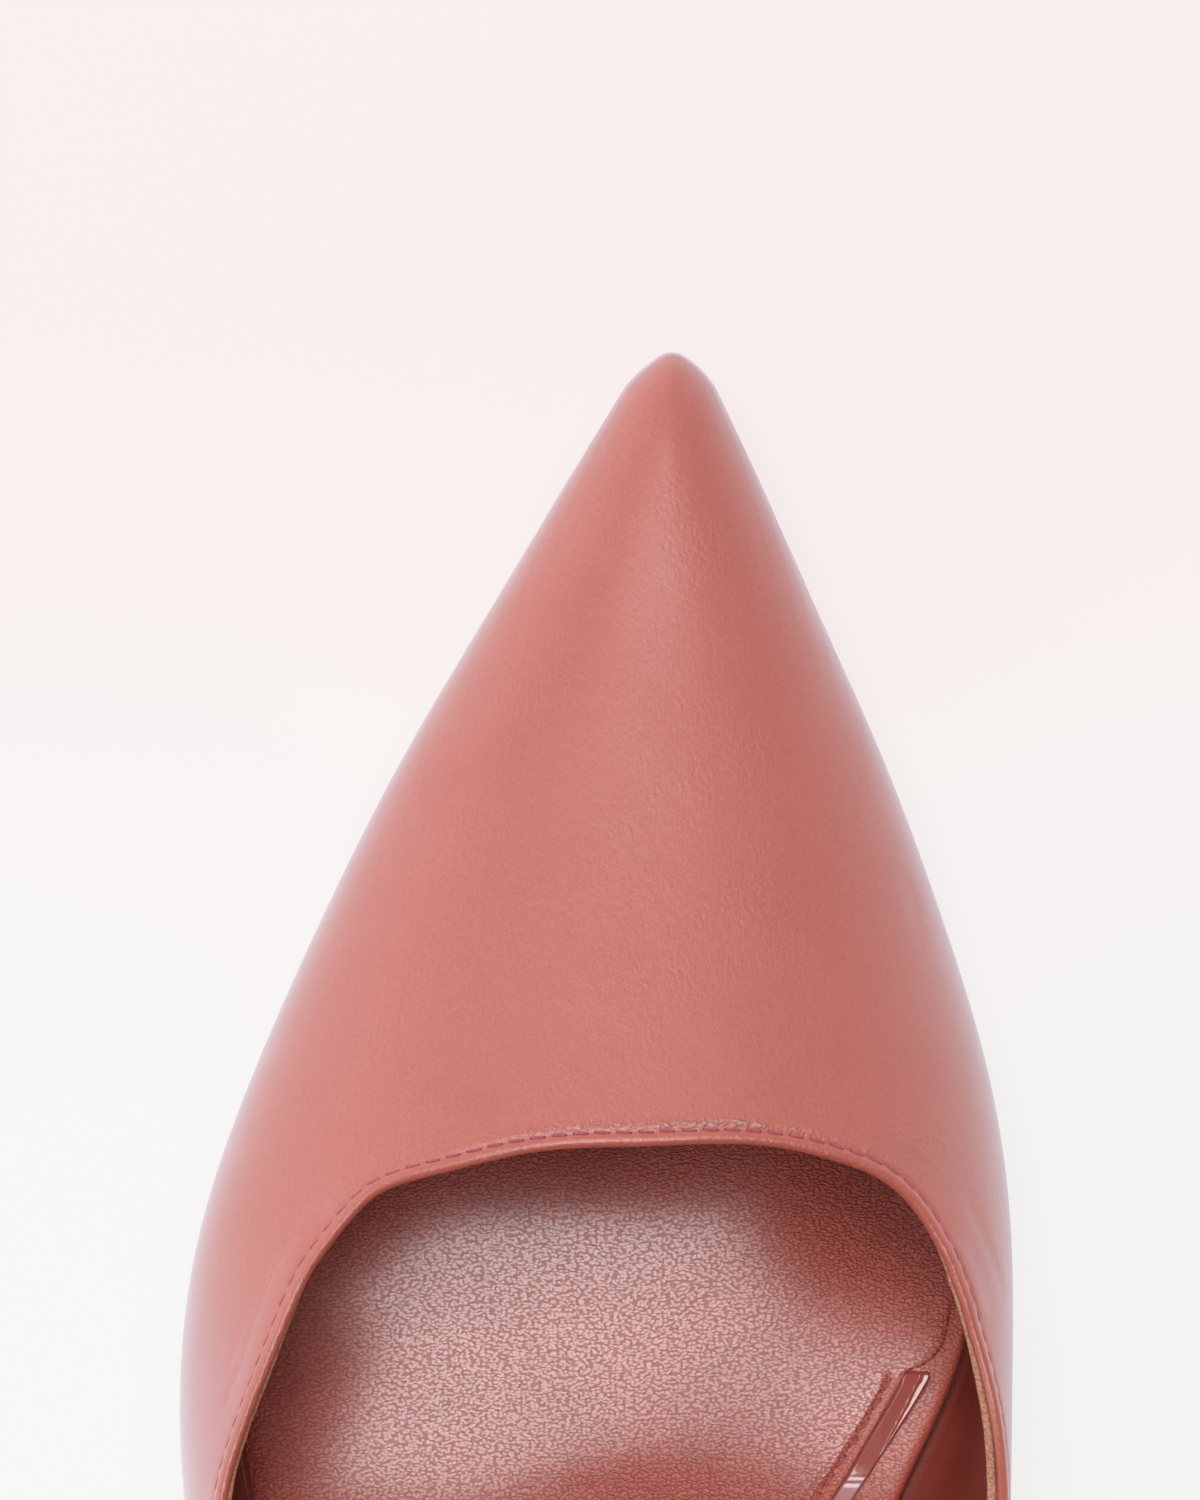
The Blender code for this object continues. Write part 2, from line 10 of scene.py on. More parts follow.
import bpy
import numpy as np
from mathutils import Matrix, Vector

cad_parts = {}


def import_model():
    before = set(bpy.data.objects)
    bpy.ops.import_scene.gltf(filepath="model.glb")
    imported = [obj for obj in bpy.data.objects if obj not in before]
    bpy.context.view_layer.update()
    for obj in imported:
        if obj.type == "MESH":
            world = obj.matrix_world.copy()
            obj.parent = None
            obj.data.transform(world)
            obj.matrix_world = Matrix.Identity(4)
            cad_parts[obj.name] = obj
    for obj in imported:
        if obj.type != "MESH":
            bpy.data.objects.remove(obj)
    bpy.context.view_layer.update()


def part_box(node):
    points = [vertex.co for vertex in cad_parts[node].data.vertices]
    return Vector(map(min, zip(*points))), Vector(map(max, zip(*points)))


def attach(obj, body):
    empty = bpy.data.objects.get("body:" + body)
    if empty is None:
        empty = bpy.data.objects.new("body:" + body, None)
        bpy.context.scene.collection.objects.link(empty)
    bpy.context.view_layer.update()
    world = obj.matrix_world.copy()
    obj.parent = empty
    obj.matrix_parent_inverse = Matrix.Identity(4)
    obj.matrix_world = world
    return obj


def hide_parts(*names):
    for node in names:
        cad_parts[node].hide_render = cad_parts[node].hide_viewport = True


MM = 0.001

# ---------------- the last, as in the CAD model

LENGTH = 232
TOE_X, TOE_ROUND, TOE_FAN = -7.3, 3.8, 30
FEATHER_TIP, CROWN_TIP = 2.4, 10
HEEL_X, HEEL_ROUND = -3, 26
WALL, GAP = 2, 0.3
OUTSOLE_THICK, OUTSOLE_EDGE = 2.6, 1
INSOLE_THICK = 3.6
TREAD_START, TREAD_END = 74, 92
TOE_SPRING = 5
CROWN_POWER, TUCK_POWER = 2.15, 2.4
OUTWARD = {"lateral": 1, "medial": -1}

SHANK = np.array([  # at, height of the sole's underside
    (TREAD_END, 0),
    (105, 1.6),
    (120, 7.2),
    (135, 17),
    (150, 29.8),
    (165, 43.6),
    (180, 56.2),
    (195, 66.2),
    (210, 73.6),
    (LENGTH, 81.5),
])
SOLE_PLAN = np.array([  # at, lateral and medial edge of the feather line
    (0, -6.2, -8.5),
    (10, -1.5, -11.8),
    (25, 7.3, -18.3),
    (40, 16, -24.8),
    (55, 23.4, -30.2),
    (70, 29.8, -34.6),
    (85, 34.4, -37),
    (97, 35.6, -36.1),
    (110, 34.2, -30.4),
    (125, 29.6, -24.9),
    (145, 23, -22.6),
    (165, 20.2, -24.2),
    (185, 20.3, -26.2),
    (207, 21.4, -27.4),
    (LENGTH, 21.4, -27.4),
])
LAST = np.array([  # at, lateral, medial, belly lateral, belly medial, crown x, crown height
    (0, -4.9, -9.9, 3.2, 3.2, -7.3, 8),
    (10, 1.3, -14.7, 4.6, 4.6, -7.1, 12.4),
    (25, 10.3, -21.4, 6.6, 6.6, -6.6, 18),
    (40, 19.1, -28, 8.6, 8.6, -6, 23.8),
    (55, 26.6, -33.5, 10.6, 10.6, -5.4, 29.8),
    (70, 33.2, -37.9, 12.6, 13, -5, 36),
    (85, 38.2, -39.9, 14.6, 17, -4.6, 41.8),
    (100, 40, -39.7, 17, 25, -4.2, 47.6),
    (112, 39.2, -39.1, 19, 33, -4, 54),
    (130, 35.6, -37.2, 23, 38, -3.8, 66),
    (150, 30.6, -33.4, 27, 40, -3.4, 80),
    (180, 26.6, -29.8, 30, 40, -3, 92),
])
RIM = np.array([  # the topline from the throat back: place and angle round the section, lateral and medial
    (75.8, 90, 75.8, 90),
    (76, 81.5, 75.6, 80.5),
    (76.8, 72.8, 75.95, 70.7),
    (78.3, 64, 77.2, 60.6),
    (80.2, 54.6, 79.3, 50.6),
    (83.5, 49.2, 82.8, 42.6),
    (87.8, 44.4, 87.4, 36.2),
    (93.2, 40.6, 92.8, 29.6),
    (100.4, 34.7, 100, 20),
    (108.8, 25.9, 108.2, 11),
    (121, 16.5, 120.6, 3.5),
    (134.5, 10.5, 134.3, -2),
    (148.5, 7, 148.3, -5),
    (161, 6, 161, -6.5),
])
QUARTER_END = 184  # where the quarters' back edges meet the feather line


def smooth_curve(places, values, start_slope=None):
    """A natural cubic spline through the values, as a function of one place or an array of them."""
    places, values = np.array(places, float), np.array(values, float)
    count = len(places)
    step = np.diff(places)
    rise = np.diff(values) / step
    matrix = np.eye(count)
    right = np.zeros(count)
    for i in range(1, count - 1):
        matrix[i, i - 1 : i + 2] = step[i - 1], 2 * (step[i - 1] + step[i]), step[i]
        right[i] = 6 * (rise[i] - rise[i - 1])
    if start_slope is not None:
        matrix[0, :2] = 2 * step[0], step[0]
        right[0] = 6 * (rise[0] - start_slope)
    bend = np.linalg.solve(matrix, right)

    def curve(place):
        place = np.clip(place, places[0], places[-1])
        i = np.minimum(np.searchsorted(places, place, side="right") - 1, count - 2)
        before = place - places[i]
        after = places[i + 1] - place
        cubic = (bend[i] * after**3 + bend[i + 1] * before**3) / (6 * step[i])
        left = (values[i] / step[i] - bend[i] * step[i] / 6) * after
        return cubic + left + (values[i + 1] / step[i] - bend[i + 1] * step[i] / 6) * before

    return curve


def curves_of(places, *columns):
    return [smooth_curve(places, column) for column in columns]


SHANK_CURVE = smooth_curve(*SHANK.T, start_slope=0)
SOLE_CURVES = dict(zip(OUTWARD, curves_of(*SOLE_PLAN.T)))
*SIDE_CURVES, CROWN_X_CURVE, CROWN_CURVE = curves_of(*LAST.T)
WIDE_CURVES = dict(zip(OUTWARD, SIDE_CURVES[:2]))
BELLY_CURVES = dict(zip(OUTWARD, SIDE_CURVES[2:]))
RIM_SHARES = np.linspace(0, 1, len(RIM))  # from 0 at the throat to 1 at the back of a quarter
RIM_CURVES = {
    "lateral": curves_of(RIM_SHARES, *RIM.T[:2]),
    "medial": curves_of(RIM_SHARES, *RIM.T[2:]),
}


def slope_of(curve, at):
    half_step = 0.5
    return (curve(at + half_step) - curve(at - half_step)) / (2 * half_step)


def squared(slope):
    return np.sqrt(1 + slope * slope)


def round_share(distance, radius):
    """How wide a round end is at a distance from its tip, as a share of its full width."""
    left = 1 - np.clip(distance / radius, 0, 1)
    return np.sqrt(1 - left * left)


def sole_bottom(at):
    """Height of the sole's underside: toe spring, a flat tread, then the rise of the shank."""
    spring = TOE_SPRING * (np.maximum(TREAD_START - at, 0) / TREAD_START) ** 2
    return spring + np.where(at > TREAD_END, SHANK_CURVE(at), 0)


def layer_height(at, above):
    return sole_bottom(at) + above * squared(slope_of(sole_bottom, at))


def feather_height(at, above=0):
    return layer_height(at, OUTSOLE_THICK + GAP + above)


def crown_height(at):
    return feather_height(at) + CROWN_CURVE(at)


def fanned(place, tip):
    return place + tip * np.maximum(1 - place / TOE_FAN, 0) ** 2


def sole_edge(side, at, out=0):
    """x of the feather line moved outwards, closed round the toe and round the seat."""
    curve = SOLE_CURVES[side]
    wide = curve(at) + OUTWARD[side] * out * squared(slope_of(curve, at))
    wide = TOE_X + (wide - TOE_X) * round_share(at - FEATHER_TIP + out, TOE_ROUND)
    return HEEL_X + (wide - HEEL_X) * round_share(LENGTH + out - at, HEEL_ROUND)


def sole_edges(at, out):
    return [sole_edge(side, at, out) for side in OUTWARD]


def last_points(side, place, angle, inset=0):
    """Points of the upper's skin, or of a skin inside it by inset, as an array of (x, at, z) rows.

    The angle goes round a section, from -90 on the feather line through 0 at the widest point to 90 on top.
    """
    place, angle = np.broadcast_arrays(np.asarray(place, float), np.asarray(angle, float))
    feather_at = fanned(place, FEATHER_TIP)
    feather_x = sole_edge(side, feather_at)
    feather_z = feather_height(feather_at, inset)
    wide_at = fanned(place, inset)
    wide_curve = WIDE_CURVES[side]
    wide_x = wide_curve(wide_at) - OUTWARD[side] * inset * squared(slope_of(wide_curve, wide_at))
    wide_x = TOE_X + (wide_x - TOE_X) * round_share(wide_at - inset, TOE_ROUND)
    wide_z = feather_height(wide_at) + BELLY_CURVES[side](wide_at)
    above = angle > 0
    turn = np.radians(np.abs(angle))
    power = np.where(above, CROWN_POWER, TUCK_POWER)
    out = np.maximum(np.cos(turn), 0) ** (2 / power)
    up = np.sin(turn) ** (2 / power)
    crown_at = fanned(place, CROWN_TIP)
    crown_slope = slope_of(crown_height, crown_at)
    crown_z = crown_height(crown_at) - inset * squared(crown_slope)
    end_x = np.where(above, CROWN_X_CURVE(crown_at), feather_x)
    end_at = np.where(above, crown_at, feather_at)
    at = end_at + (wide_at - end_at) * out
    lifted = crown_slope * (crown_at - wide_at)
    over = wide_z + (crown_z - wide_z - lifted) * up + crown_slope * (at - wide_at)
    under = wide_z - (wide_z - feather_z) * up
    return spots(end_x + (wide_x - end_x) * out, at, np.where(above, over, under))


# ---------------- meshes

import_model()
TOE_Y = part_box("upper")[0][1]  # the toe tip's place along the shoe, in metres


def world(points):
    """Millimetres in the shoe's coordinates to metres in the frame's."""
    return np.asarray(points, float) * MM + (0, TOE_Y, 0)


def add_object(name, data):
    added = bpy.data.objects.new(name, data)
    bpy.context.scene.collection.objects.link(added)
    return added


def new_piece(name, points, faces, material, slot, replaced=(), **numbers):
    """A piece of the shoe. Its mesh carries the numbers at its points."""
    mesh = bpy.data.meshes.new(name)
    mesh.from_pydata(world(points).reshape(-1, 3).tolist(), [], faces)
    mesh.validate()
    mesh.shade_smooth()
    mesh.materials.append(material)
    for number, values in numbers.items():
        attribute = mesh.attributes.new(number, "FLOAT", "POINT")
        values = np.broadcast_to(values, points.shape[:-1])
        attribute.data.foreach_set("value", values.astype(np.float32).ravel())
    piece = add_object(name, mesh)
    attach(piece, "root")
    if replaced:
        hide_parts(*replaced)
    return piece


def quads(numbers):
    """Faces between rows and columns of points, which are given by their numbers in the mesh."""
    corners = np.stack([numbers[:-1, :-1], numbers[:-1, 1:], numbers[1:, 1:], numbers[1:, :-1]], axis=-1)
    return corners.reshape(-1, 4).tolist()


def sheet_faces(rows, columns):
    return quads(np.arange(rows * columns).reshape(rows, columns))


def ring_faces(rows, around, first_cap=None):
    """Faces along rows of rings and over the two ends. The first has one face, or those of first_cap."""
    numbers = np.arange(rows * around).reshape(rows, around)
    first, last = numbers[0].tolist(), numbers[-1].tolist()
    sides = quads(np.concatenate([numbers, numbers[:, :1]], axis=1))
    return sides + (first_cap or [first[::-1]]) + [last]


def welded_piece(name, points, faces, *rest, flip=False, **numbers):
    """A piece whose points are welded where they meet. flip turns faces that would face inwards."""
    piece = new_piece(name, points, [face[::-1] for face in faces] if flip else faces, *rest, **numbers)
    piece.modifiers.new("weld", "WELD").merge_threshold = 0.001 * MM
    return piece


def sheet_piece(name, points, *rest, **options):
    return welded_piece(name, points, sheet_faces(*points.shape[:2]), *rest, **options)


def closed_piece(name, rings, *rest, first_cap=None, **options):
    return welded_piece(name, rings, ring_faces(*rings.shape[:2], first_cap), *rest, **options)


def spots(*parts):
    """Rows of x, at and z, or of any other columns."""
    return np.stack(np.broadcast_arrays(*parts), axis=-1)


# ---------------- materials


class Nodes:
    """A node tree and short ways to add to it."""

    def __init__(self, tree):
        self.tree = tree

    def add(self, kind, **settings):
        node = self.tree.nodes.new(kind)
        for name, value in settings.items():
            setattr(node, name, value)
        return node

    def put(self, socket, value):
        if isinstance(value, bpy.types.NodeSocket):
            self.tree.links.new(value, socket)
        else:
            socket.default_value = value

    def fill(self, node, values):
        """Puts the values into the sockets that their keys name or number. Returns the node."""
        for socket, value in values.items():
            self.put(node.inputs[socket], value)
        return node

    def maths(self, operation, *values, kind="ShaderNodeMath"):
        return self.fill(self.add(kind, operation=operation), dict(enumerate(values))).outputs[0]

    def vector(self, operation, *values):
        return self.maths(operation, *values, kind="ShaderNodeVectorMath")

    def times(self, a, b):
        return self.maths("MULTIPLY", a, b)

    def spread(self, value, low, high, to_low=0, to_high=1, curve="SMOOTHSTEP"):
        """The value stretched so that low becomes to_low and high becomes to_high."""
        ends = {"Value": value, "From Min": low, "From Max": high, "To Min": to_low, "To Max": to_high}
        return self.fill(self.add("ShaderNodeMapRange", interpolation_type=curve), ends).outputs["Result"]

    def mixed(self, share, first, second):
        """A colour between the first, at share 0, and the second."""
        node = self.add("ShaderNodeMix", data_type="RGBA")
        return self.fill(node, {0: share, 6: first, 7: second}).outputs[2]

    def axes(self, place):
        return self.fill(self.add("ShaderNodeSeparateXYZ"), {0: place}).outputs


class Look(Nodes):
    """One material. Its textures are read in millimetres."""

    def __init__(self, name, colour, roughness, **sockets):
        self.material = bpy.data.materials.new(name)
        self.material.use_nodes = True
        super().__init__(self.material.node_tree)
        self.shader = self.tree.nodes["Principled BSDF"]
        sockets = {socket.replace("_", " "): value for socket, value in sockets.items()}
        self.fill(self.shader, {"Base Color": (*colour, 1), "Roughness": roughness, **sockets})
        place = self.add("ShaderNodeTexCoord").outputs["Object"]
        self.place = self.vector("MULTIPLY", place, (1 / MM,) * 3)

    def scaled(self, stretch, place=None):
        return self.vector("MULTIPLY", place or self.place, stretch)

    def texture(self, kind, size, place, **sockets):
        """A texture whose features are about size millimetres across."""
        return self.fill(self.add(kind), {"Vector": place or self.place, "Scale": 1 / size, **sockets})

    def noise(self, size, detail=2, place=None, warp=0):
        """A noise from 0 to 1."""
        node = self.texture("ShaderNodeTexNoise", size, place, Detail=detail, Distortion=warp)
        return node.outputs["Fac"]

    def from_middles(self, size, place):
        """How far the nearest cell's middle is, as a share of size, in a flat pattern seen from above."""
        node = self.texture("ShaderNodeTexVoronoi", size, place, Randomness=0.9)
        node.voronoi_dimensions = "2D"
        return node.outputs["Distance"]

    def shifted(self, amount, size):
        """The place moved about by a coarse noise, so that a pattern on it isn't regular."""
        noise = self.texture("ShaderNodeTexNoise", size, None).outputs["Color"]
        centred = self.vector("SUBTRACT", noise, (0.5, 0.5, 0.5))
        return self.vector("ADD", self.place, self.vector("MULTIPLY", centred, (2 * amount,) * 3))

    def own(self, attribute):
        """A number that the mesh carries at each point."""
        return self.add("ShaderNodeAttribute", attribute_name=attribute).outputs["Fac"]

    def tint(self, share, colour):
        """Mixes a colour over the base colour so far."""
        base = self.shader.inputs["Base Color"]
        so_far = base.links[0].from_socket if base.links else tuple(base.default_value)
        self.put(base, self.mixed(share, so_far, (*colour, 1)))

    def mottle(self, colour, share, size, detail, low, high):
        """Tints the look in soft blotches, where a noise is between low and high."""
        self.tint(self.spread(self.noise(size, detail), low, high, 0, share), colour)

    def roughen(self, value):
        self.put(self.shader.inputs["Roughness"], value)

    def bump(self, height, depth):
        """Relief of the given depth in millimetres, where height runs from 0 to 1."""
        normal = self.shader.inputs["Normal"]
        values = {"Distance": depth * MM, "Height": height}
        if normal.links:
            values["Normal"] = normal.links[0].from_socket
        self.put(normal, self.fill(self.add("ShaderNodeBump"), values).outputs["Normal"])


NAPPA = (0.61, 0.157, 0.12)
NAPPA_DEEP = (0.56, 0.098, 0.065)
# painted shade for the topline's rolled edge where it turns under
NAPPA_FOLD_SHADE = (0.44, 0.09, 0.052)
# painted highlight on the puckers beside the stitches
PUCKER_PAINTED_HIGHLIGHT = (0.74, 0.36, 0.31)
# painted sheen on the outer quarter, and how strong it is
PAINTED_SHEEN, PAINTED_SHEEN_SHARE = (0.6, 0.42, 0.5), 0.24
RAW_EDGE = (0.6, 0.31, 0.2)
RAW_DARK = (0.4, 0.13, 0.08)
LINING = (0.26, 0.042, 0.028)
SOCK = (0.79, 0.188, 0.142)
SOCK_DEEP = (0.42, 0.07, 0.052)
PRESSED = (0.5, 0.12, 0.07)
PATENT = (0.44, 0.092, 0.072)
PATENT_LIGHT = (0.5, 0.12, 0.1)
# painted reflection on the arch strip past its creases
PATENT_PAINTED_REFLECTION = (0.5, 0.2, 0.21)
PLUM_THREAD = (0.46, 0.085, 0.11)
PLUM_LIGHT = (0.56, 0.15, 0.16)
# painted shade for the thread's ends, where it dives into the holes
PAINTED_HOLE_SHADE = (0.14, 0.014, 0.026)
ARCH_THREAD = (0.5, 0.14, 0.19)
SOLE = (0.47, 0.27, 0.15)
SOLE_DEEP = (0.34, 0.17, 0.085)
SOLE_SIDE = (0.33, 0.095, 0.062)
RUBBER = (0.035, 0.026, 0.026)
RUBBER_WORN = (0.075, 0.06, 0.06)
LILAC = (0.74, 0.85, 1, 1)


def nappa(name, rim=False, sheen=0.62):
    coat = {"Coat_Weight": 0.9, "Coat_Roughness": 0.4}
    bloom = {"Sheen_Weight": sheen, "Sheen_Roughness": 0.5, "Sheen_Tint": LILAC}
    look = Look(name, NAPPA, 0.4, **coat, **bloom)
    look.mottle(NAPPA_DEEP, 0.25, 14, 3, 0.45, 0.75)
    look.mottle(NAPPA_DEEP, 0.45, 0.35, 2, 0.35, 0.75)
    rough = look.spread(look.noise(6, 3), 0.3, 0.7, 0.37, 0.45)
    if rim:
        off_rim = look.own("off_rim")
        # painted shade: a band behind the fold, over the stitched groove, is darkened
        look.tint(look.spread(off_rim, 0.9, 3, 0.35, 0), NAPPA_DEEP)
        # painted shade on the rolled edge, where it turns down and under
        look.tint(look.spread(off_rim, -0.1, 0.8, 0.7, 0), NAPPA_FOLD_SHADE)
        # painted sheen: a pale lilac tint over the outer quarter
        look.tint(look.own("bloomed"), PAINTED_SHEEN)
        rough = look.times(rough, look.spread(off_rim, 0.6, 2.2, 0.75, 1))
        # fine wrinkles that run away from the stitches at the throat and across its inner corner
        for attribute, stretch in (("pulled", (1, 0.12, 1)), ("wrinkled", (0.12, 1, 1))):
            lines = look.noise(0.42, 1, look.scaled(stretch, look.shifted(0.25, 2.5)))
            look.bump(look.times(lines, look.own(attribute)), 0.12)
        # the leather is crumpled where it's folded over and where the stitches gather it
        crumpled = look.times(look.noise(0.5, 1.5), look.spread(off_rim, 0.3, 1.1, 1, 0.25))
        look.bump(crumpled, 0.1)
        lumps = look.spread(look.noise(0.55, 1, warp=0.3), 0.38, 0.66)
        lumps = look.times(lumps, look.own("gathered"))
        # the tops of the lumps are painted paler: a painted highlight on the puckers
        look.tint(look.spread(lumps, 0.1, 0.8, 0, 0.7), PUCKER_PAINTED_HIGHLIGHT)
        look.bump(lumps, 0.28)
    # the grain is fine and drawn out along the shoe, with pores on it
    grain = look.noise(0.42, place=look.scaled((1, 0.5, 1), look.shifted(0.3, 2)))
    grain = look.maths("ADD", grain, look.times(look.noise(0.2), 0.4))
    look.bump(look.times(grain, look.spread(look.noise(9), 0.35, 0.7, 0.45, 1)), 0.14)
    look.roughen(rough)
    return look.material


def sock_leather():
    """Small drawn-out pebbles, glossy on top, with painted shade in the hollows between."""
    look = Look("sock_leather", SOCK, 0.4, Coat_Weight=1, Coat_Roughness=0.25, Coat_IOR=1.7)
    place = look.scaled((0.82, 1.3, 1), look.shifted(0.3, 1.2))
    pebbles = look.spread(look.from_middles(0.38, place), 0.1, 0.72, 1, 0)
    uneven = look.spread(look.noise(0.4, 1), 0.2, 0.8)
    relief = look.maths("ADD", look.times(pebbles, 0.75), look.times(uneven, 0.25))
    smooth = look.spread(look.own("smooth"), 0, 1, 1, 0.25)
    look.mottle(SOCK_DEEP, 0.3, 12, 2, 0.4, 0.7)
    # painted shade: the hollows between the pebbles are darkened
    look.tint(look.spread(relief, 0.1, 0.8, 0.65, 0), SOCK_DEEP)
    look.tint(look.times(look.own("smooth"), 0.6), PRESSED)
    glossy = look.times(look.spread(relief, 0.1, 0.7, 0.25, 0.98), smooth)
    look.put(look.shader.inputs["Coat Weight"], glossy)
    look.bump(look.times(relief, smooth), 0.24)
    return look.material


def lining_leather():
    look = Look("lining_leather", LINING, 0.5, Specular_IOR_Level=0.35)
    look.mottle(SOCK_DEEP, 0.35, 9, 3, 0.4, 0.75)
    fibres = look.noise(0.24, 4)
    off_rim = look.own("off_rim")
    raw = look.spread(off_rim, 0.02, 0.08, 1, 0)
    look.tint(raw, RAW_EDGE)
    look.tint(look.times(raw, look.spread(fibres, 0.42, 0.6, 0, 0.9)), RAW_DARK)
    look.bump(fibres, 0.08)
    look.roughen(look.spread(off_rim, 0.02, 0.08, 0.8, 0.5))
    return look.material


def thread(name, colour, dark_from=0.5):
    look = Look(name, colour, 0.6)
    look.mottle(PLUM_LIGHT, 0.6, 0.25, 2, 0.35, 0.65)
    # painted shade: each stitch darkens towards its ends, where it goes into the holes
    look.tint(look.spread(look.own("to_end"), dark_from, 1, 0, 0.95), PAINTED_HOLE_SHADE)
    look.bump(look.noise(0.12, 1), 0.04)
    return look.material


def patent_strip():
    look = Look("patent_strip", PATENT, 0.25, Coat_Weight=1, Coat_Roughness=0.05)
    look.mottle(PATENT_LIGHT, 0.3, 3, 2, 0.4, 0.7)
    # painted reflection: past the creases the strip is tinted a pale lilac-pink
    look.tint(look.times(look.own("dulled"), 0.85), PATENT_PAINTED_REFLECTION)
    look.bump(look.noise(0.5), 0.02)
    return look.material


def sole_leather():
    look = Look("sole_leather", SOLE, 0.5, Specular_IOR_Level=0.4)
    look.mottle(SOLE_DEEP, 0.4, 5, 4, 0.35, 0.75)
    look.tint(look.spread(look.own("on_edge"), 0.3, 0.7), SOLE_SIDE)
    look.bump(look.noise(0.4, 4), 0.05)
    return look.material


def rubber():
    look = Look("top_lift_rubber", RUBBER, 0.62)
    look.mottle(RUBBER_WORN, 0.5, 1.2, 4, 0.4, 0.8)
    look.bump(look.noise(0.25, 3), 0.04)
    return look.material


# ---------------- upper

RIM_STEP = 0.33  # the topline's points are this far apart
ROLL = 0.55  # radius of the folded edge
BAND_END, BAND_STEP = 5, 0.18  # fine rows beside the topline
FIELD_ROWS = 84
ROLL_TURNS = np.radians(np.arange(18, 181, 18))
TUCK_UNDER = (0.5, 1.1, 1.8)  # how far the folded leather's rows run back under the skin
TUCK_TIGHT = 0.8  # how tightly their ends turn, as a share of the back edge's round
PAST_STITCHES = 1.4
FOLD_ROWS = len(TUCK_UNDER) + len(ROLL_TURNS) - 1
BACK_ROUND = 1  # radius of the quarters' back edges
BACK_TURNS = np.radians(np.arange(22.5, 181, 22.5))

REACH = np.array([
    # distance along the topline from the throat's middle, and where the line that leaves it there ends:
    # first on the seam in the middle of the toe, then along the feather line
    (0, 0, 0),
    (1, 0, 5),
    (2, 0, 24),
    (3, 0, 58),
    (4, 0, 110),
    (5, 0, 180),
    (12, 30, 180),
    (20, 62, 180),
    (30, 88, 180),
])

Field = namedtuple("Field", "place turn run off points normals")


def smooth_step(value, low, high):
    """0 up to low and 1 from high on, or the other way round where low is the greater one."""
    share = np.clip((value - low) / (high - low), 0, 1)
    return share * share * (3 - 2 * share)


def hump(value, middle, width):
    return np.exp(-(((value - middle) / width) ** 2))


def unit(vectors):
    return vectors / np.maximum(np.linalg.norm(vectors, axis=-1, keepdims=True), 1e-9)


def square_to(normals, vectors):
    """Unit vectors along the part of the vectors that is square to the normals."""
    return unit(vectors - normals * (vectors * normals).sum(axis=-1, keepdims=True))


def at_places(places, run, rows):
    """Each column of the rows, which stand at run, read at the places."""
    return spots(*(np.interp(places, run, column) for column in rows.T))


def from_pairs(place, pairs):
    return np.interp(place, *np.array(pairs).T)


def skin(place, turn, inset=0):
    """The upper's skin round whole sections: turn goes from 180 on the outer feather line through 0 on the
    crown to -180 on the inner one."""
    place, turn = np.broadcast_arrays(np.asarray(place, float), np.asarray(turn, float))
    outer, inner = (last_points(side, place, 90 - np.abs(turn), inset) for side in OUTWARD)
    return np.where((turn >= 0)[..., None], outer, inner)


def run_of(points):
    return np.concatenate([[0], np.cumsum(np.linalg.norm(np.diff(points, axis=0), axis=1))])


def topline():
    """(place, turn, run) of even points of the topline, from the back of the outer quarter round the throat
    to the inner one. run is the distance from the throat's middle, positive on the outer side."""
    halves = []
    share = np.linspace(0, 1, 2000)
    for side, sign in OUTWARD.items():
        place, angle = (curve(share) for curve in RIM_CURVES[side])
        turn = sign * (90 - angle)
        run = run_of(skin(place, turn))
        even = np.linspace(0, run[-1], round(run[-1] / RIM_STEP) + 1)
        halves.append([np.interp(even, run, place), np.interp(even, run, turn), sign * even])
    return [np.concatenate([outer[::-1], inner[1:]]) for outer, inner in zip(*halves)]


def square_to_topline(place, turn):
    """The direction in (place, turn) that leaves the topline square to it, for each millimetre of skin."""
    half = 0.5
    by_place = (skin(place + half, turn) - skin(place - half, turn)) / (2 * half)
    by_turn = (skin(place, turn + half) - skin(place, turn - half)) / (2 * half)
    along = np.gradient(skin(place, turn), axis=0)
    a = (by_turn * along).sum(axis=-1)
    b = -(by_place * along).sum(axis=-1)
    size = np.linalg.norm(by_place * a[:, None] + by_turn * b[:, None], axis=-1)
    return spots(a / size, b / size)


def evened(rows, reach=7):
    """Each row averaged with its neighbours."""
    padded = np.pad(rows, ((reach, reach), (0, 0)), mode="edge")
    window = np.ones(2 * reach + 1) / (2 * reach + 1)
    return spots(*(np.convolve(column, window, mode="valid") for column in padded.T))


